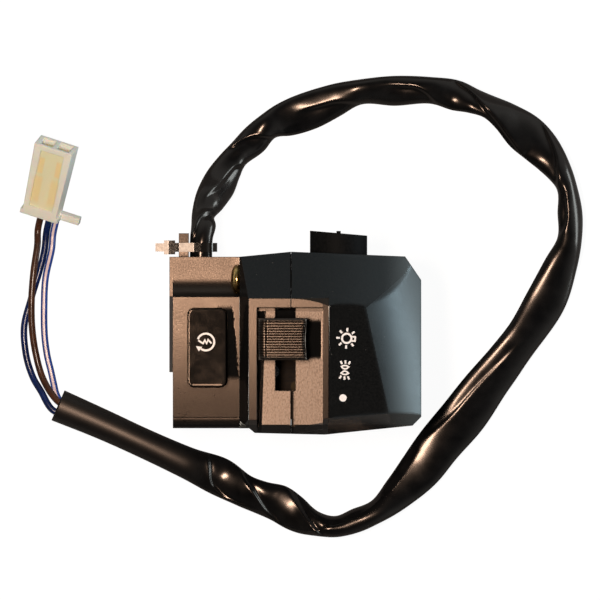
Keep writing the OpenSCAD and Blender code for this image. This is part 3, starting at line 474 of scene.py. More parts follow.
def screw_head(seat):
    """A profile swung round the X axis: at share p of the profile the radius is R sin a and the
    height rim + (t - rim) cos a, with a from 90 degrees at the rim to 0 at the top. Inside the
    slot the height is cut back by the depth, eased over 0.1 mm."""
    a = np.concatenate([[np.pi / 2], np.linspace(np.pi / 2, 0.004, HEAD_ROWS)])[:, None]
    turn = -np.linspace(0, 2 * np.pi, HEAD_SIDES, endpoint=False)[None, :]
    radius = HEAD_R * np.sin(a) * np.ones_like(turn)
    height = HEAD_RIM + (HEAD_T - HEAD_RIM) * np.cos(a) * np.ones_like(turn)
    height[0] = 0
    y, z = radius * np.cos(turn), radius * np.sin(turn)
    cut = ramp(SLOT_HALF - np.abs(z), 0, 0.1) * ramp(SLOT_LONG - np.abs(y), 0, 0.1)
    height -= SLOT_DEEP * cut
    return (np.stack([-height, y, z], axis=2) + np.array(seat)) * MM


SCREW_SEATS = {"screw_head_upper": (-14.3, 18.1, 16.0), "screw_head_lower": (-14.3, -12.0, -16.0)}
screw_heads = []
for name, seat in SCREW_SEATS.items():
    head = add_piece(name, grid_mesh(name, screw_head(seat)), "housing")
    screw_heads.append(head)
    print(name, "triangles:", 2 * len(head.data.polygons))

# %% [markdown]
# ## Return spring
# Under the button sits a wound return spring. The CAD model has a rigid pleated tube in its
# place, which would go through the contact base when the button is pressed. A wound wire is a
# circle carried along a helix.

# %% Wound spring
SPRING_WIRE, SPRING_TURNS, SPRING_POINTS = 0.45, 6, 240
spring_low, spring_high = (np.array(corner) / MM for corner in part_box("start_return_spring"))
spring_middle = (spring_low + spring_high) / 2


def helix(turns, radius, low, high):
    """A path that turns at one radius while its height grows evenly: (r cos q, r sin q, z)."""
    q = np.linspace(0, 2 * np.pi * turns, SPRING_POINTS)
    return np.stack([spring_middle[0] + radius * np.cos(q), spring_middle[1] + radius * np.sin(q),
                     np.linspace(low, high, SPRING_POINTS)], axis=1)


spring_radius = (spring_high[0] - spring_low[0]) / 2 - SPRING_WIRE / 2
spring_path = helix(SPRING_TURNS, spring_radius,
                    spring_low[2] + SPRING_WIRE / 2, spring_high[2] - SPRING_WIRE / 2)
spring_skin = round_tube(spring_path * MM, SPRING_WIRE / 2 * MM)
spring = add_piece("return_spring", grid_mesh("return_spring", spring_skin), "housing")
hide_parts("start_return_spring")
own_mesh(spring)

# %% [markdown]
# ## Printed marks
# White marks are pad-printed on the sloped face beside the slider and on the button. A line of
# print is a thin flat bar carried along a drawn line; a dot is a disc. The lines are drawn in
# the plane of the picture and then set on the face that carries them, a few hundredths of a
# millimetre proud, as ink is.

# %% Stroke, disc and the way onto a face
PRINT_PROUD = 0.05
PRINT_SUNK = 0.03


def stroke(points, width, closed=False):
    """A bar of rectangular section carried along a line in the plane. Each corner is mitred: the
    half width is divided by the cosine of half the turn there. Gives (rows, 4, 3) points, with
    the height in the last column still as a share from 0 to 1."""
    p = np.asarray(points, dtype=float)
    if closed:
        ahead, behind = np.roll(p, -1, axis=0) - p, p - np.roll(p, 1, axis=0)
    else:
        seg = np.diff(p, axis=0)
        ahead, behind = np.concatenate([seg, seg[-1:]]), np.concatenate([seg[:1], seg])
    n1 = np.stack([-ahead[:, 1], ahead[:, 0]], axis=1) / np.linalg.norm(ahead, axis=1, keepdims=True)
    n2 = np.stack([-behind[:, 1], behind[:, 0]], axis=1) / np.linalg.norm(behind, axis=1, keepdims=True)
    normal = n1 + n2
    normal /= np.linalg.norm(normal, axis=1, keepdims=True)
    reach = np.clip((normal * n1).sum(axis=1), 0.55, 1)[:, None]
    left, right = p + normal / reach * width / 2, p - normal / reach * width / 2
    low, high = np.zeros((len(p), 1)), np.ones((len(p), 1))
    ring = np.stack([np.hstack([left, low]), np.hstack([right, low]),
                     np.hstack([right, high]), np.hstack([left, high])], axis=1)
    return np.concatenate([ring, ring[:1]]) if closed else ring


def disc(centre, radius):
    """A flat disc as two rings of 40 points, low and high."""
    q = np.linspace(0, 2 * np.pi, 40, endpoint=False)
    ring = np.stack([centre[0] + radius * np.cos(q), centre[1] + radius * np.sin(q)], axis=1)
    return np.stack([np.hstack([ring, np.zeros((40, 1))]), np.hstack([ring, np.ones((40, 1))])])


def on_slope(points):
    """Set drawn points on the sloped face, which falls 0.28 mm for each mm beyond x = 10.5."""
    z = 32 - 0.28 * (points[..., 0] - 10.5) - PRINT_SUNK + points[..., 2] * (PRINT_SUNK + PRINT_PROUD)
    return np.concatenate([points[..., :2], z[..., None]], axis=-1)


def on_button(points):
    """Set drawn points on the flat top of the button."""
    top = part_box("start_button")[1][2] / MM
    z = top - PRINT_SUNK + points[..., 2] * (PRINT_SUNK + PRINT_PROUD)
    return np.concatenate([points[..., :2], z[..., None]], axis=-1)


def mark_mesh(name, shapes, face):
    """Join the closed meshes of several strokes and discs: their points follow one another, and
    each one's faces count on from the points before it."""
    verts, faces, count = [], [], 0
    for shape in shapes:
        bit = grid_mesh(name + "_bit", face(shape) * MM)
        points = np.empty(3 * len(bit.vertices), dtype=np.float32)
        bit.vertices.foreach_get("co", points)
        corners = np.empty(len(bit.loops), dtype=np.int32)
        bit.loops.foreach_get("vertex_index", corners)
        quads = 4 * (shape.shape[0] - 1) * shape.shape[1]
        verts.append(points.reshape(-1, 3))
        faces += (corners[:quads].reshape(-1, 4) + count).tolist()
        faces += (corners[quads:].reshape(-1, 3) + count).tolist()
        count += len(bit.vertices)
        bpy.data.meshes.remove(bit)
    joined = bpy.data.meshes.new(name)
    joined.from_pydata(np.concatenate(verts).tolist(), [], faces)
    return joined


def turned(points, degrees, centre):
    """Turn points drawn round the origin and move them to a centre."""
    a = np.radians(degrees)
    p = np.asarray(points, dtype=float)
    return np.stack([p[:, 0] * np.cos(a) - p[:, 1] * np.sin(a) + centre[0],
                     p[:, 0] * np.sin(a) + p[:, 1] * np.cos(a) + centre[1]], axis=1)


def arc(radius, start, end, count):
    """Points at one radius from the origin, evenly from one angle to another."""
    q = np.radians(np.linspace(start, end, count))
    return np.stack([radius * np.cos(q), radius * np.sin(q)], axis=1)


# %% [markdown]
# The headlamp mark is a bulb: a ring, a small square base on its right and seven short rays.
# The parking mark is two half lenses back to back with three rays each. A dot means off.

# %% Marks beside the slider
LAMP = (15.55, 1.62)
LAMP_TILT = -4
lamp_shapes = [stroke(turned(arc(1.30, 0, 360, 49)[:-1], 0, LAMP), 0.56, closed=True)]
base_line = [(1.42, 0.56), (2.34, 0.56), (2.34, -0.62), (1.42, -0.62)]
lamp_shapes.append(stroke(turned(base_line, LAMP_TILT, LAMP), 0.46))
for angle in (45, 90, 135, 180, 225, 270, 315):
    ray = [(1.93, 0), (2.2, 0), (2.6, 0), (2.9, 0)]
    lamp_shapes.append(stroke(turned(ray, angle + LAMP_TILT, LAMP), 0.54))

PARK = (15.05, -7.2)
park_shapes = []
for flip in (1, -1):
    x = np.linspace(-1.02, 1.02, 15)
    upper = np.stack([x, flip * (0.92 + 0.34 * (1 - (x / 1.02) ** 2))], axis=1)
    lower = np.stack([x[::-1], flip * (0.92 - 0.62 * (1 - (x / 1.02) ** 2))], axis=1)
    lens = np.concatenate([upper[:-1], lower[:-1]])
    park_shapes.append(stroke(turned(lens, -2, PARK), 0.42, closed=True))
for x, y, turn in ((-1.0, 2.08, 117), (0.16, 2.24, 91), (1.24, 2.0, 60),
                   (-1.28, -1.98, 238), (-0.14, -2.24, 267), (0.98, -2.2, 297)):
    ray = turned([(-0.48, 0), (-0.2, 0), (0.2, 0), (0.48, 0)], turn, (PARK[0] + x, PARK[1] + y))
    park_shapes.append(stroke(ray, 0.52))

marks = {
    "mark_headlamp": (lamp_shapes, on_slope, "housing"),
    "mark_parking": (park_shapes, on_slope, "housing"),
    "mark_off": ([disc((14.5, -15.0), 1.03)], on_slope, "housing"),
}
print("strokes drawn:", len(lamp_shapes), len(park_shapes))

# %% [markdown]
# The start mark is an open circle that ends in an arrow head, round a zigzag spark. It rides on
# the button, so it sinks with it.

# %% Mark on the button
START = (-23.75, 0.6)
SPARK = [(-2.1, 0.45), (-0.78, -0.42), (-0.26, 0.55), (0.2, -0.4), (0.66, 0.62), (1.58, -0.38)]
start_shapes = [
    stroke(turned(arc(2.34, 160, -128, 60), 0, START), 0.56),
    stroke(turned(SPARK, 0, START), 0.46),
]
arrow_head = turned([(-2.75, -1.15), (-1.0, -1.36), (-1.95, -2.62)], 0, START)[::-1]
start_shapes.append(np.stack([np.hstack([arrow_head, np.zeros((3, 1))]),
                              np.hstack([arrow_head, np.ones((3, 1))])]))
marks["mark_start"] = (start_shapes, on_button, "start_plunger")

mark_pieces = {}
for mark_name, (shapes, face, body) in marks.items():
    mark_pieces[mark_name] = add_piece(mark_name, mark_mesh(mark_name, shapes, face), body)
    print(mark_name, "faces:", len(mark_pieces[mark_name].data.polygons))

# %% [markdown]
# ## Finishes
# A material here is a small node tree: one shader, with noise that varies its colour, its
# roughness and its relief. A few helpers keep the trees short. All patterns read Object
# coordinates, in metres, so a scale of 2000 means grain of about half a millimetre.

# %% Node helpers
def new_material(name):
    """An empty material with a Principled shader; gives the tree and the shader."""
    material = bpy.data.materials.new(name)
    material.use_nodes = True
    tree = material.node_tree
    shader = tree.nodes["Principled BSDF"]
    return material, tree, shader


def noise(tree, scale, detail=3.0, stretch=(1, 1, 1)):
    """Noise on Object coordinates, stretched by a Mapping node."""
    coord = tree.nodes.new("ShaderNodeTexCoord")
    mapping = tree.nodes.new("ShaderNodeMapping")
    mapping.inputs["Scale"].default_value = stretch
    texture = tree.nodes.new("ShaderNodeTexNoise")
    texture.inputs["Scale"].default_value = scale
    texture.inputs["Detail"].default_value = detail
    tree.links.new(coord.outputs["Object"], mapping.inputs["Vector"])
    tree.links.new(mapping.outputs["Vector"], texture.inputs["Vector"])
    return texture.outputs["Fac"]


def remap(tree, value, low, high, new_low, new_high):
    """Straight-line change of range, held at its ends."""
    node = tree.nodes.new("ShaderNodeMapRange")
    numbers = {"From Min": low, "From Max": high, "To Min": new_low, "To Max": new_high}
    for socket, number in numbers.items():
        node.inputs[socket].default_value = number
    tree.links.new(value, node.inputs["Value"])
    return node.outputs["Result"]


def blend_colours(tree, factor, first, second):
    """Mix of two colours by a factor; either may be a colour or a socket."""
    node = tree.nodes.new("ShaderNodeMix")
    node.data_type = "RGBA"
    tree.links.new(factor, node.inputs["Factor"])
    for socket, colour in ((node.inputs[6], first), (node.inputs[7], second)):
        if isinstance(colour, tuple):
            socket.default_value = (*colour, 1)
        else:
            tree.links.new(colour, socket)
    return node.outputs[2]


def relief(tree, shader, height, depth, bevel=None):
    """Bump of that depth in metres, on top of edges softened by a bevel radius, which is a number
    or a socket."""
    bump = tree.nodes.new("ShaderNodeBump")
    bump.inputs["Distance"].default_value = depth
    tree.links.new(height, bump.inputs["Height"])
    if bevel is not None:
        rounding = tree.nodes.new("ShaderNodeBevel")
        rounding.samples = 6
        if isinstance(bevel, float):
            rounding.inputs["Radius"].default_value = bevel
        else:
            tree.links.new(bevel, rounding.inputs["Radius"])
        tree.links.new(rounding.outputs["Normal"], bump.inputs["Normal"])
    tree.links.new(bump.outputs["Normal"], shader.inputs["Normal"])


# %% [markdown]
# The housing is black glass-filled plastic with two finishes from the same mould. The faces
# that look straight up, the frame, the shelf, the panel and the recess, are spark-eroded and
# coarse, so they spread the lamp's light into a warm sheen. The sloped faces round them are
# smoother and stay dark. Place in the part decides which is which, so a few more helpers turn
# coordinates into soft masks and sums.

# %% Masks from place
def place(tree):
    """The three Object coordinates as sockets by name."""
    coord = tree.nodes.new("ShaderNodeTexCoord")
    split = tree.nodes.new("ShaderNodeSeparateXYZ")
    tree.links.new(coord.outputs["Object"], split.inputs["Vector"])
    return split.outputs


def maths(tree, operation, *values):
    """One Math node; each value is a socket or a number."""
    node = tree.nodes.new("ShaderNodeMath")
    node.operation = operation
    for socket, value in zip(node.inputs, values):
        if isinstance(value, (int, float)):
            socket.default_value = value
        else:
            tree.links.new(value, socket)
    return node.outputs[0]


def step(tree, value, start, end):
    """Soft step from 0 at start to 1 at end, both in mm; it falls where end is below start."""
    node = tree.nodes.new("ShaderNodeMapRange")
    node.interpolation_type = "SMOOTHSTEP"
    node.inputs["From Min"].default_value = start * MM
    node.inputs["From Max"].default_value = end * MM
    tree.links.new(value, node.inputs["Value"])
    return node.outputs["Result"]


def between(tree, value, low, high, soft):
    """1 between two places in mm, with soft edges."""
    rise = step(tree, value, low - soft, low + soft)
    return maths(tree, "MULTIPLY", rise, step(tree, value, high + soft, high - soft))


def both(tree, first, *others):
    """Product of masks: 1 where all of them are 1."""
    for mask in others:
        first = maths(tree, "MULTIPLY", first, mask)
    return first


def either(tree, first, *others):
    """Largest of masks: 1 where any of them is 1."""
    for mask in others:
        first = maths(tree, "MAXIMUM", first, mask)
    return first


def pick(tree, factor, first, second):
    """Number between two sockets."""
    node = tree.nodes.new("ShaderNodeMix")
    tree.links.new(factor, node.inputs[0])
    for socket, value in ((node.inputs[2], first), (node.inputs[3], second)):
        if isinstance(value, (int, float)):
            socket.default_value = value
        else:
            tree.links.new(value, socket)
    return node.outputs[0]


# %% [markdown]
# The first step names the zones. Beside the button, beside the knob and under the recess's left
# wall the picture is black. Most of that is shade, which these two lamps do not cast, so the
# material holds it as a dark, dull zone that looks the same from every side.

# %% Zones of the housing
def housing_zones(tree, at):
    """Masks by place, each 1 inside its zone. The zone beside the button has a slanting, ragged
    edge: X + 0.084 Y plus a noise."""
    shoulder = both(tree, step(tree, at["Y"], 12.7, 13.0), step(tree, at["X"], -14.5, -14.2))
    smooth = either(tree, step(tree, at["X"], 10.4, 10.7), shoulder,
                    between(tree, at["X"], -14.4, -11.8, 0.1))
    recess = both(tree, between(tree, at["X"], -9.5, 9.0, 0.1), between(tree, at["Z"], 23.5, 30.0, 0.2),
                  step(tree, at["Y"], 9.4, 9.1))
    ragged = maths(tree, "MULTIPLY", maths(tree, "SUBTRACT", noise(tree, 900, 4), 0.5), 0.0016)
    rim = maths(tree, "ADD", maths(tree, "MULTIPLY_ADD", at["Y"], 0.084, at["X"]), ragged)
    beside_button = both(tree, between(tree, rim, -19.5, -15.3, 0.3),
                         between(tree, at["Y"], -9.4, 10.4, 1.6))
    slant = maths(tree, "MULTIPLY_ADD", at["Y"], -0.034, at["X"])
    under_wall = both(tree, recess, step(tree, slant, -7.32, -7.38))
    beside_knob = both(tree, between(tree, at["X"], 4.0, 8.5, 0.25),
                       between(tree, at["Y"], -4.0, 6.7, 0.8), recess)
    flank = step(tree, maths(tree, "MULTIPLY_ADD", at["Y"], 0.214, at["X"]), 23.0, 23.3)
    corner = step(tree, maths(tree, "MULTIPLY_ADD", at["X"], -0.87, at["Y"]), -7.9, -8.4)
    groove = both(tree, between(tree, at["X"], -0.15, 0.75, 0.05), step(tree, at["Y"], -13.0, -13.1))
    return {
        "smooth": smooth, "recess": recess, "groove": groove, "flank": both(tree, flank, corner),
        "shaded": either(tree, beside_button, under_wall, beside_knob),
        "seam": both(tree, between(tree, at["X"], -0.25, 0.25, 0.05), smooth),
        "tongue": step(tree, at["Y"], 26.0, 26.2), "low_end": step(tree, at["Y"], -22.3, -22.6),
    }


# %% [markdown]
# Roughness decides how wide the lamp's sheen spreads, and the specular level how strong it is.
# The seam and the groove in the recess give back very little, and so do the low end and the shaded zones, where
# this is painted shade.

# %% Gloss of the housing
def housing_gloss(tree, shader, zone, grain, tool):
    """Roughness, specular level and tint, each picked zone by zone, with a speckle from noise."""
    cloud = noise(tree, 160, 4)
    rough = pick(tree, zone["smooth"], remap(tree, cloud, 0.3, 0.7, 0.32, 0.37),
                 remap(tree, cloud, 0.3, 0.7, 0.14, 0.18))
    rough = pick(tree, zone["flank"], rough, remap(tree, cloud, 0.3, 0.7, 0.36, 0.42))
    speck = maths(tree, "MULTIPLY", maths(tree, "SUBTRACT", grain, 0.5), 0.3)
    rough = maths(tree, "ADD", pick(tree, zone["tongue"], rough, 0.46), speck)
    rough = pick(tree, zone["low_end"], rough, 0.14)
    rough = pick(tree, zone["recess"], rough, remap(tree, tool, 0.35, 0.65, 0.3, 0.4))
    tree.links.new(pick(tree, zone["shaded"], rough, 0.05), shader.inputs["Roughness"])
    # Painted shade: the low end and the shaded zones lose most of their sheen.
    dark = either(tree, zone["seam"], both(tree, zone["groove"], zone["recess"]), zone["shaded"],
                  maths(tree, "MULTIPLY", zone["low_end"], 0.8))
    tree.links.new(remap(tree, dark, 0, 1, 0.62, 0.03), shader.inputs["Specular IOR Level"])
    tint = blend_colours(tree, zone["smooth"], (1.0, 0.72, 0.54), (0.86, 0.97, 1.0))
    tree.links.new(tint, shader.inputs["Specular Tint"])


# %% [markdown]
# The colour is nearly black. The floor of the recess is painted paler and warmer, partly as wear
# and partly as painted sheen, and the shaded zones and the low end are painted dark as shade.
# Towards the outer flank it is painted paler and cooler as light from the right. A few specks of dust.

# %% Colour of the housing
def housing_colour(tree, shader, zone, at, grain, tool):
    """Base colour: grain, then the recess floor painted paler (wear and painted sheen) and dark in the shaded
    zones (painted shade), the low end painted dark as shade, the flank's painted light and dust, in turn.
    """
    shade = blend_colours(tree, remap(tree, grain, 0.35, 0.7, 0, 1),
                          (0.0035, 0.0036, 0.0037), (0.008, 0.0078, 0.0076))
    # The recess floor is painted paler and warmer, partly wear and partly painted sheen. The shaded zones and
    # the groove then go near black, and in the shaded zones that is painted shade.
    recess_wear_sheen_shade = blend_colours(tree, remap(tree, tool, 0.38, 0.6, 0, 1), (0.03, 0.024, 0.02), (0.2, 0.16, 0.135))
    recess_wear_sheen_shade = blend_colours(tree, either(tree, zone["shaded"], zone["groove"]), recess_wear_sheen_shade, (0.005, 0.005, 0.005))
    shade = blend_colours(tree, zone["recess"], shade, recess_wear_sheen_shade)
    # Painted shade: the low end is made near black.
    shade = blend_colours(tree, zone["low_end"], shade, (0.005, 0.005, 0.005))
    # Painted light: the smooth flank grows paler and cooler towards +X, standing in for light from the right.
    painted_flank_light = both(tree, step(tree, at["X"], 25.0, 37.0), zone["smooth"])
    shade = blend_colours(tree, painted_flank_light, shade, (0.07, 0.085, 0.09))
    dust = remap(tree, noise(tree, 900, 2), 0.76, 0.8, 0, 0.3)
    tree.links.new(blend_colours(tree, dust, shade, (0.16, 0.15, 0.14)), shader.inputs["Base Color"])


# %% [markdown]
# Relief is one height in metres for the whole housing: a fine grain, a slight crown along the
# frame, a lean of the frame's right bar and tool marks in the recess. The moulded edges are
# rounder on the lamp half than round the recess, so the bevel's radius follows X.

# %% Relief and the finished housing
def housing_height(tree, zone, at, grain, tool):
    """Grain everywhere but in the shaded zones; on the frame also -1.9 (Y - 12.5 mm)^2 and a fall
    of 0.06 for each metre of X beyond 8.9 mm; in the recess the tool marks."""
    skin = maths(tree, "SUBTRACT", 1.0, zone["shaded"])
    height = both(tree, grain, skin, pick(tree, zone["smooth"], 0.00002, 0.000004))
    fall = maths(tree, "SUBTRACT", at["Y"], 12.5 * MM)
    crown = maths(tree, "MULTIPLY", both(tree, fall, fall), -1.9)
    beyond = maths(tree, "MAXIMUM", maths(tree, "SUBTRACT", at["X"], 8.9 * MM), 0.0)
    on_frame = both(tree, step(tree, at["X"], -12.0, -11.8), maths(tree, "SUBTRACT", 1.0, zone["smooth"]),
                    maths(tree, "SUBTRACT", 1.0, zone["recess"]))
    height = maths(tree, "MULTIPLY_ADD", maths(tree, "MULTIPLY_ADD", beyond, -0.06, crown), on_frame, height)
    return maths(tree, "MULTIPLY_ADD", both(tree, tool, zone["recess"], skin), 0.00002, height)


def moulded_black():
    """Black plastic: coarse on the faces that look up, smooth beyond the frame, paler in the recess with wear
    and painted sheen, with painted shade in the shaded zones and at the low end.
    """
    material, tree, shader = new_material("housing_black")
    at = place(tree)
    zone = housing_zones(tree, at)
    grain, tool = noise(tree, 2600, 3), noise(tree, 2400, 5, (1, 0.6, 1))
    housing_gloss(tree, shader, zone, grain, tool)
    housing_colour(tree, shader, zone, at, grain, tool)
    radius = remap(tree, step(tree, at["X"], 11.5, 12.5), 0, 1, 0.0003, 0.0014)
    relief(tree, shader, housing_height(tree, zone, at, grain, tool), 1.0, bevel=radius)
    return material


HOUSING = moulded_black()
print("made", HOUSING.name, "with", len(HOUSING.node_tree.nodes), "nodes")

# %% [markdown]
# Most of the other pieces need the same recipe with other numbers: two close colours mixed by a
# noise, a range of roughness and a depth of relief. One function makes them all, so a finish is
# one line of numbers. Constant values go straight onto the shader's own sockets.

# %% One recipe for plain finishes
def speckled(name, dark, light, rough, scale, depth, bevel=None, stretch=(1, 1, 1), **sockets):
    """Colour and roughness that follow a noise, with the same noise as relief."""
    material, tree, shader = new_material(name)
    pattern = noise(tree, scale, 4, stretch)
    shade = blend_colours(tree, remap(tree, pattern, 0.3, 0.7, 0, 1), dark, light)
    tree.links.new(shade, shader.inputs["Base Color"])
    tree.links.new(remap(tree, pattern, 0.3, 0.7, rough[0], rough[1]), shader.inputs["Roughness"])
    for socket, value in sockets.items():
        shader.inputs[socket.replace("_", " ")].default_value = value
    relief(tree, shader, pattern, depth, bevel)
    return material


KNOB = speckled("knob_black", (0.004, 0.004, 0.004), (0.008, 0.0075, 0.007), (0.2, 0.24), 900, 0.0,
                Specular_IOR_Level=1.0, Specular_Tint=(1.0, 0.74, 0.56, 1))
PLUG = speckled("plug_rubber", (0.003, 0.0032, 0.0034), (0.007, 0.0072, 0.0075), (0.5, 0.65), 1400,
                0.00001, 0.0003, Specular_IOR_Level=0.03)
BRASS = speckled("brass", (0.42, 0.27, 0.09), (0.68, 0.47, 0.18), (0.16, 0.34), 700, 0.000006,
                 Metallic=1.0)
DULL_BRASS = speckled("contact_brass", (0.012, 0.009, 0.006), (0.03, 0.022, 0.012), (0.5, 0.65), 900,
                      0.000006, Metallic=1.0)
COPPER = speckled("contact_copper", (0.6, 0.3, 0.16), (0.78, 0.42, 0.24), (0.2, 0.36), 1200, 0.000004,
                  Metallic=1.0)
STEEL = speckled("spring_steel", (0.42, 0.42, 0.43), (0.62, 0.62, 0.63), (0.2, 0.36), 1600, 0.000003,
                 Metallic=1.0)
BOARD = speckled("board_brown", (0.008, 0.006, 0.005), (0.02, 0.014, 0.01), (0.5, 0.65), 500, 0.000006,
                 stretch=(1, 4, 1), Specular_IOR_Level=0.03)
CARRIAGE = speckled("carriage_black", (0.002, 0.002, 0.002), (0.005, 0.005, 0.005), (0.6, 0.75), 900,
                    0.000001, Specular_IOR_Level=0.02)
LEADS = speckled("lead_insulation", (0.02, 0.03, 0.12), (0.04, 0.05, 0.2), (0.3, 0.45), 800, 0.000006)
INK = speckled("print_white", (0.78, 0.75, 0.73), (0.92, 0.89, 0.87), (0.4, 0.55), 3000, 0.000004)
print("made", len(bpy.data.materials), "materials so far")

# %% [markdown]
# The button is polished. A thumb dish sinks into its lower half; it is shallow, so relief shows
# it well: a bowl whose height falls as one minus the square of the way from its middle.

# %% Polished button
def polished_button():
    """Gloss black with a shallow bowl in the relief and faint handling marks."""
    material, tree, shader = new_material("button_gloss")
    at = place(tree)
    across = maths(tree, "DIVIDE", maths(tree, "ADD", at["X"], 23.6 * MM), 4.9 * MM)
    along = maths(tree, "DIVIDE", maths(tree, "ADD", at["Y"], 8.6 * MM), 4.6 * MM)
    away = maths(tree, "MULTIPLY_ADD", across, across, both(tree, along, along))
    bowl = maths(tree, "MAXIMUM", maths(tree, "SUBTRACT", 1.0, away), 0.0)
    handled = noise(tree, 500, 4)
    sink = maths(tree, "MULTIPLY", bowl, -0.00003)
    height = maths(tree, "MULTIPLY_ADD", handled, 0.0000006, sink)
    relief(tree, shader, height, 1.0, bevel=0.0004)
    shade = remap(tree, noise(tree, 90, 3), 0.3, 0.7, 0, 1)
    tree.links.new(blend_colours(tree, shade, (0.005, 0.0048, 0.0046), (0.011, 0.0095, 0.0085)),
                   shader.inputs["Base Color"])
    lip = both(tree, between(tree, at["Y"], -11.5, -11.15, 0.08), between(tree, at["X"], -27.4, -19.4, 0.4))
    gloss = remap(tree, handled, 0.3, 0.7, 0.05, 0.08)
    tree.links.new(pick(tree, lip, gloss, 0.34), shader.inputs["Roughness"])
    shader.inputs["Specular Tint"].default_value = (1.0, 0.74, 0.56, 1)
    return material


BUTTON = polished_button()
print("made", BUTTON.name)

# %% [markdown]
# The tie is nylon: dull on the strap where the jaws of the moulding tool left it coarse, and
# smooth on the head and round the sleeve.

# %% Tie
def tie_nylon():
    """Black nylon, coarse on the flat strap and on the tail, smooth elsewhere."""
    material, tree, shader = new_material("tie_black")
    at = place(tree)
    strap = both(tree, step(tree, at["X"], -31.4, -31.1), step(tree, at["X"], -27.0, -27.5))
    coarse = either(tree, strap, step(tree, at["X"], -34.2, -34.5))
    grain = noise(tree, 1500, 3)
    rough = pick(tree, coarse, remap(tree, grain, 0.3, 0.7, 0.04, 0.07), remap(tree, grain, 0.3, 0.7, 0.3, 0.36))
    tree.links.new(rough, shader.inputs["Roughness"])
    shade = blend_colours(tree, grain, (0.006, 0.0055, 0.005), (0.013, 0.0115, 0.0105))
    tree.links.new(shade, shader.inputs["Base Color"])
    shader.inputs["Specular IOR Level"].default_value = 0.9
    shader.inputs["Specular Tint"].default_value = (1.0, 0.88, 0.78, 1)
    relief(tree, shader, grain, 0.000002)
    return material


TIE = tie_nylon()
print("made", TIE.name)

# %% [markdown]
# The sleeve is glossy soft plastic. Its relief is faint and slow, like the skin of extruded
# tube, so the lamp draws long bright lines along each fold.

# %% Sleeve
def soft_vinyl():
    """Black gloss vinyl, duller on its last straight stretch, with faint ripples."""
    material, tree, shader = new_material("sleeve_black")
    at = place(tree)
    ripple = noise(tree, 240, 4)
    shade = blend_colours(tree, remap(tree, ripple, 0.3, 0.7, 0, 1),
                          (0.003, 0.0032, 0.0036), (0.006, 0.0062, 0.0066))
    tree.links.new(shade, shader.inputs["Base Color"])
    dull = both(tree, step(tree, at["X"], -20, -34), step(tree, at["Y"], -12, -15))
    rough = pick(tree, dull, remap(tree, ripple, 0.3, 0.7, 0.17, 0.24), 0.42)
    tree.links.new(rough, shader.inputs["Roughness"])
    shader.inputs["Specular IOR Level"].default_value = 0.5
    shader.inputs["Specular Tint"].default_value = (1.0, 0.82, 0.7, 1)
    relief(tree, shader, ripple, 0.00001)
    return material


SLEEVE = soft_vinyl()
print("made", SLEEVE.name)

# %% [markdown]
# The wires have coloured insulation. The striped one carries a pale line along its length. Its
# UV map counts the way round the wire from 0 to 1, so a band of that number is a stripe.

# %% Wire insulation
def insulation(name, colour, deep, stripe=None):
    """Gloss insulation with a slow change of shade, and a stripe where the way round allows."""
    material, tree, shader = new_material(name)
    shade = blend_colours(tree, remap(tree, noise(tree, 300, 3), 0.3, 0.7, 0, 1), deep, colour)
    if stripe:
        coord = tree.nodes.new("ShaderNodeTexCoord")
        split = tree.nodes.new("ShaderNodeSeparateXYZ")
        tree.links.new(coord.outputs["UV"], split.inputs["Vector"])
        middle, half, pale = stripe
        away = maths(tree, "ABSOLUTE", maths(tree, "SUBTRACT", split.outputs["X"], middle))
        shade = blend_colours(tree, remap(tree, away, half, half + 0.02, 1, 0), shade, pale)
    tree.links.new(shade, shader.inputs["Base Color"])
    tree.links.new(remap(tree, noise(tree, 900, 2), 0.3, 0.7, 0.22, 0.34), shader.inputs["Roughness"])
    relief(tree, shader, noise(tree, 500, 2), 0.00001)
    return material


WIRE_FINISH = {
    "wire_brown": insulation("wire_brown", (0.07, 0.026, 0.011), (0.035, 0.014, 0.006)),
    "wire_blue": insulation("wire_blue", (0.004, 0.018, 0.11), (0.002, 0.008, 0.05)),
    "wire_striped": insulation("wire_striped", (0.03, 0.09, 0.42), (0.015, 0.055, 0.3),
                               (0.235, 0.05, (0.8, 0.66, 0.68))),
}
print("made", list(WIRE_FINISH))

# %% [markdown]
# The plug is natural nylon: milky, warm and a little clear, so the brass inside glows through
# its walls. Some light passes through a rough surface, and the rest scatters under it.

# %% Ivory plug
PLUG_FOOT = (-0.06905, 0.0376, -0.01935)
PLUG_ACROSS = (0.9352, -0.3007, 0.1869)
PLUG_ALONG = (0.1945, 0.8775, 0.4384)


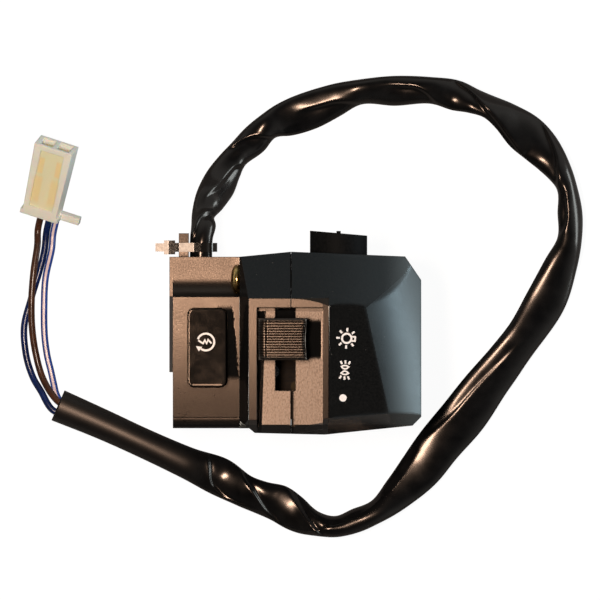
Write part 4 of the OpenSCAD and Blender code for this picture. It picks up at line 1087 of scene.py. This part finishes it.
def milky_nylon():
    """Warm translucent nylon; brass shows through the thin wall as two rows of orange patches,
    placed by the plug's own axes."""
    material, tree, shader = new_material("connector_ivory")
    coord = tree.nodes.new("ShaderNodeTexCoord")
    own = tree.nodes.new("ShaderNodeVectorMath")
    own.operation = "SUBTRACT"
    own.inputs[1].default_value = PLUG_FOOT
    tree.links.new(coord.outputs["Object"], own.inputs[0])
    axes = []
    for axis in (PLUG_ACROSS, PLUG_ALONG):
        dot = tree.nodes.new("ShaderNodeVectorMath")
        dot.operation = "DOT_PRODUCT"
        dot.inputs[1].default_value = axis
        tree.links.new(own.outputs[0], dot.inputs[0])
        axes.append(dot.outputs["Value"])
    x, y = axes
    way = maths(tree, "SUBTRACT", maths(tree, "ABSOLUTE", x), 2.5 * MM)
    upper = both(tree, between(tree, way, -0.75, 0.75, 0.25), between(tree, y, 13.4, 18.2, 0.5))
    lower = both(tree, between(tree, way, -1.2, 1.2, 0.4), between(tree, y, 4.5, 12.4, 1.0))
    window = both(tree, between(tree, x, -3.4, 3.4, 0.15), between(tree, y, 2.9, 20.5, 0.2))
    cloud = noise(tree, 260, 4)
    body = blend_colours(tree, cloud, (0.86, 0.88, 0.80), (0.94, 0.95, 0.88))
    body = blend_colours(tree, maths(tree, "MULTIPLY", window, 0.8), body, (0.90, 0.86, 0.55))
    body = blend_colours(tree, maths(tree, "MULTIPLY", lower, 0.6), body, (0.98, 0.78, 0.38))
    body = blend_colours(tree, maths(tree, "MULTIPLY", upper, 0.9), body, (1.0, 0.78, 0.42))
    tree.links.new(body, shader.inputs["Base Color"])
    tree.links.new(remap(tree, cloud, 0.3, 0.7, 0.36, 0.48), shader.inputs["Roughness"])
    shader.inputs["Transmission Weight"].default_value = 0.15
    shader.inputs["Subsurface Weight"].default_value = 0.3
    shader.inputs["Subsurface Scale"].default_value = 0.002
    relief(tree, shader, cloud, 0.00001, bevel=0.0004)
    return material


IVORY = milky_nylon()
print("made", IVORY.name)

# %% [markdown]
# Every CAD node now gets its finish. The nodes keep their own meshes; only the material slot
# changes.

# %% Give each node its finish
NODE_FINISH = {
    "button_half": HOUSING, "lamp_half": HOUSING, "end_plug": PLUG, "clamp_screws": BRASS,
    "thread_inserts": BRASS, "start_button": BUTTON, "start_contact_bridge": COPPER,
    "start_contact_base": BOARD, "start_fixed_contacts": BRASS,
    "slider_carriage": CARRIAGE, "detent_ball": STEEL, "detent_spring": STEEL,
    "slider_contact_bridge": COPPER, "slider_contact_spring": STEEL, "slider_contact_board": BOARD,
    "slider_fixed_contacts": DULL_BRASS, "board_screws": STEEL, "inner_leads": LEADS, "cable_tie": TIE,
    "connector_housing": IVORY, "connector_terminals": BRASS,
}
for node_name, finish in NODE_FINISH.items():
    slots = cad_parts[node_name].data.materials
    slots.clear()
    slots.append(finish)
sleeve.data.materials.append(SLEEVE)
knob.data.materials.append(KNOB)
spring.data.materials.append(STEEL)
for piece in joint_pieces:
    piece.data.materials.append(CARRIAGE)
for piece in screw_heads:
    piece.data.materials.append(BRASS)
for wire_name, wire in wires.items():
    wire.data.materials.append(WIRE_FINISH[wire_name])
for piece in mark_pieces.values():
    piece.data.materials.append(INK)
print("nodes with a finish:", len(NODE_FINISH))

# %% [markdown]
# ## The table
# The picture's background is pure white. The table is a pale sheet that also glows for the
# camera, so it renders white, while a part of its light still comes from the lamps and so keeps
# a faint shadow. In gloss it shows bright on the left and right and dark in front.

# %% White table
def white_table():
    """A large level square just under the part, with a glow for camera and clear rays."""
    size = 2.5
    mesh = bpy.data.meshes.new("table")
    corner = np.array([(-1, -1, 0), (1, -1, 0), (1, 1, 0), (-1, 1, 0)]) * size
    corner[:, 2] = TABLE_Z - 0.0001
    mesh.from_pydata(corner.tolist(), [], [(0, 1, 2, 3)])
    table = bpy.data.objects.new("table", mesh)
    bpy.context.scene.collection.objects.link(table)
    material, tree, shader = new_material("table_white")
    shader.inputs["Base Color"].default_value = (0.12, 0.12, 0.12, 1)
    shader.inputs["Roughness"].default_value = 0.9
    shader.inputs["Specular IOR Level"].default_value = 0.0
    rays = tree.nodes.new("ShaderNodeLightPath")
    seen = rays.outputs["Is Camera Ray"]
    seen = maths(tree, "MAXIMUM", seen, rays.outputs["Is Transmission Ray"])
    at = place(tree)
    aside = remap(tree, maths(tree, "ABSOLUTE", at["X"]), 0.05, 0.3, 0.05, 0.9)
    strength = pick(tree, seen, aside, 0.95)
    shader.inputs["Emission Color"].default_value = (1, 1, 1, 1)
    tree.links.new(strength, shader.inputs["Emission Strength"])
    mesh.materials.append(material)
    return table


white_table()
print("table at z in mm:", TABLE_Z / MM)

# %% [markdown]
# ## Light
# A warm lamp hangs almost overhead, a little to the left. Faces that look straight up send its
# light to the camera, which gives them their brown sheen, and faces that slope away stay black.
# A cool soft box stands low on the right and brightens the round side of the housing.

# %% Lamps
def soft_box(name, direction, distance, size, power, colour):
    """A square area lamp that looks at the housing from a direction."""
    data = bpy.data.lights.new(name, "AREA")
    data.shape = "RECTANGLE"
    data.size, data.size_y = size
    data.energy = power
    data.color = colour
    lamp = bpy.data.objects.new(name, data)
    aim = np.asarray(direction, dtype=float)
    aim /= np.linalg.norm(aim)
    lamp.location = tuple((aim * distance).tolist())
    lamp.rotation_euler = Vector(aim.tolist()).to_track_quat("Z", "Y").to_euler()
    bpy.context.scene.collection.objects.link(lamp)
    return lamp


soft_box("lamp_warm", (-0.085, 0.015, 0.51), 0.52, (0.14, 0.07), 2.5, (1.0, 0.8, 0.66))
soft_box("lamp_cool", (1.0, 0.1, 0.1), 1.6, (1.4, 0.4), 15, (0.72, 0.9, 1.0))

# %% [markdown]
# The room is dark overhead and pale near the horizon, and darker on the left than on the right,
# as the reflections in the sloped faces show.

# %% Room
def dim_room():
    """World colour from the direction's height: dark above, paler towards the horizon, and white
    where the camera looks straight at it."""
    world = bpy.data.worlds.new("dim_room")
    world.use_nodes = True
    tree = world.node_tree
    coord = tree.nodes.new("ShaderNodeTexCoord")
    split = tree.nodes.new("ShaderNodeSeparateXYZ")
    tree.links.new(coord.outputs["Generated"], split.inputs["Vector"])
    fall = remap(tree, split.outputs["Z"], 0.35, 0.8, 0.5, 0.03)
    side = remap(tree, maths(tree, "ADD", split.outputs["X"], split.outputs["Y"]), -0.9, 0.7, 0.12, 1.0)
    rays = tree.nodes.new("ShaderNodeLightPath")
    level = pick(tree, rays.outputs["Is Camera Ray"], maths(tree, "MULTIPLY", fall, side), 1.15)
    background = tree.nodes["Background"]
    background.inputs["Color"].default_value = (0.88, 0.96, 1.0, 1)
    tree.links.new(level, background.inputs["Strength"])
    bpy.context.scene.world = world


dim_room()
bpy.context.scene.view_settings.view_transform = "Standard"
print("view transform:", bpy.context.scene.view_settings.view_transform)
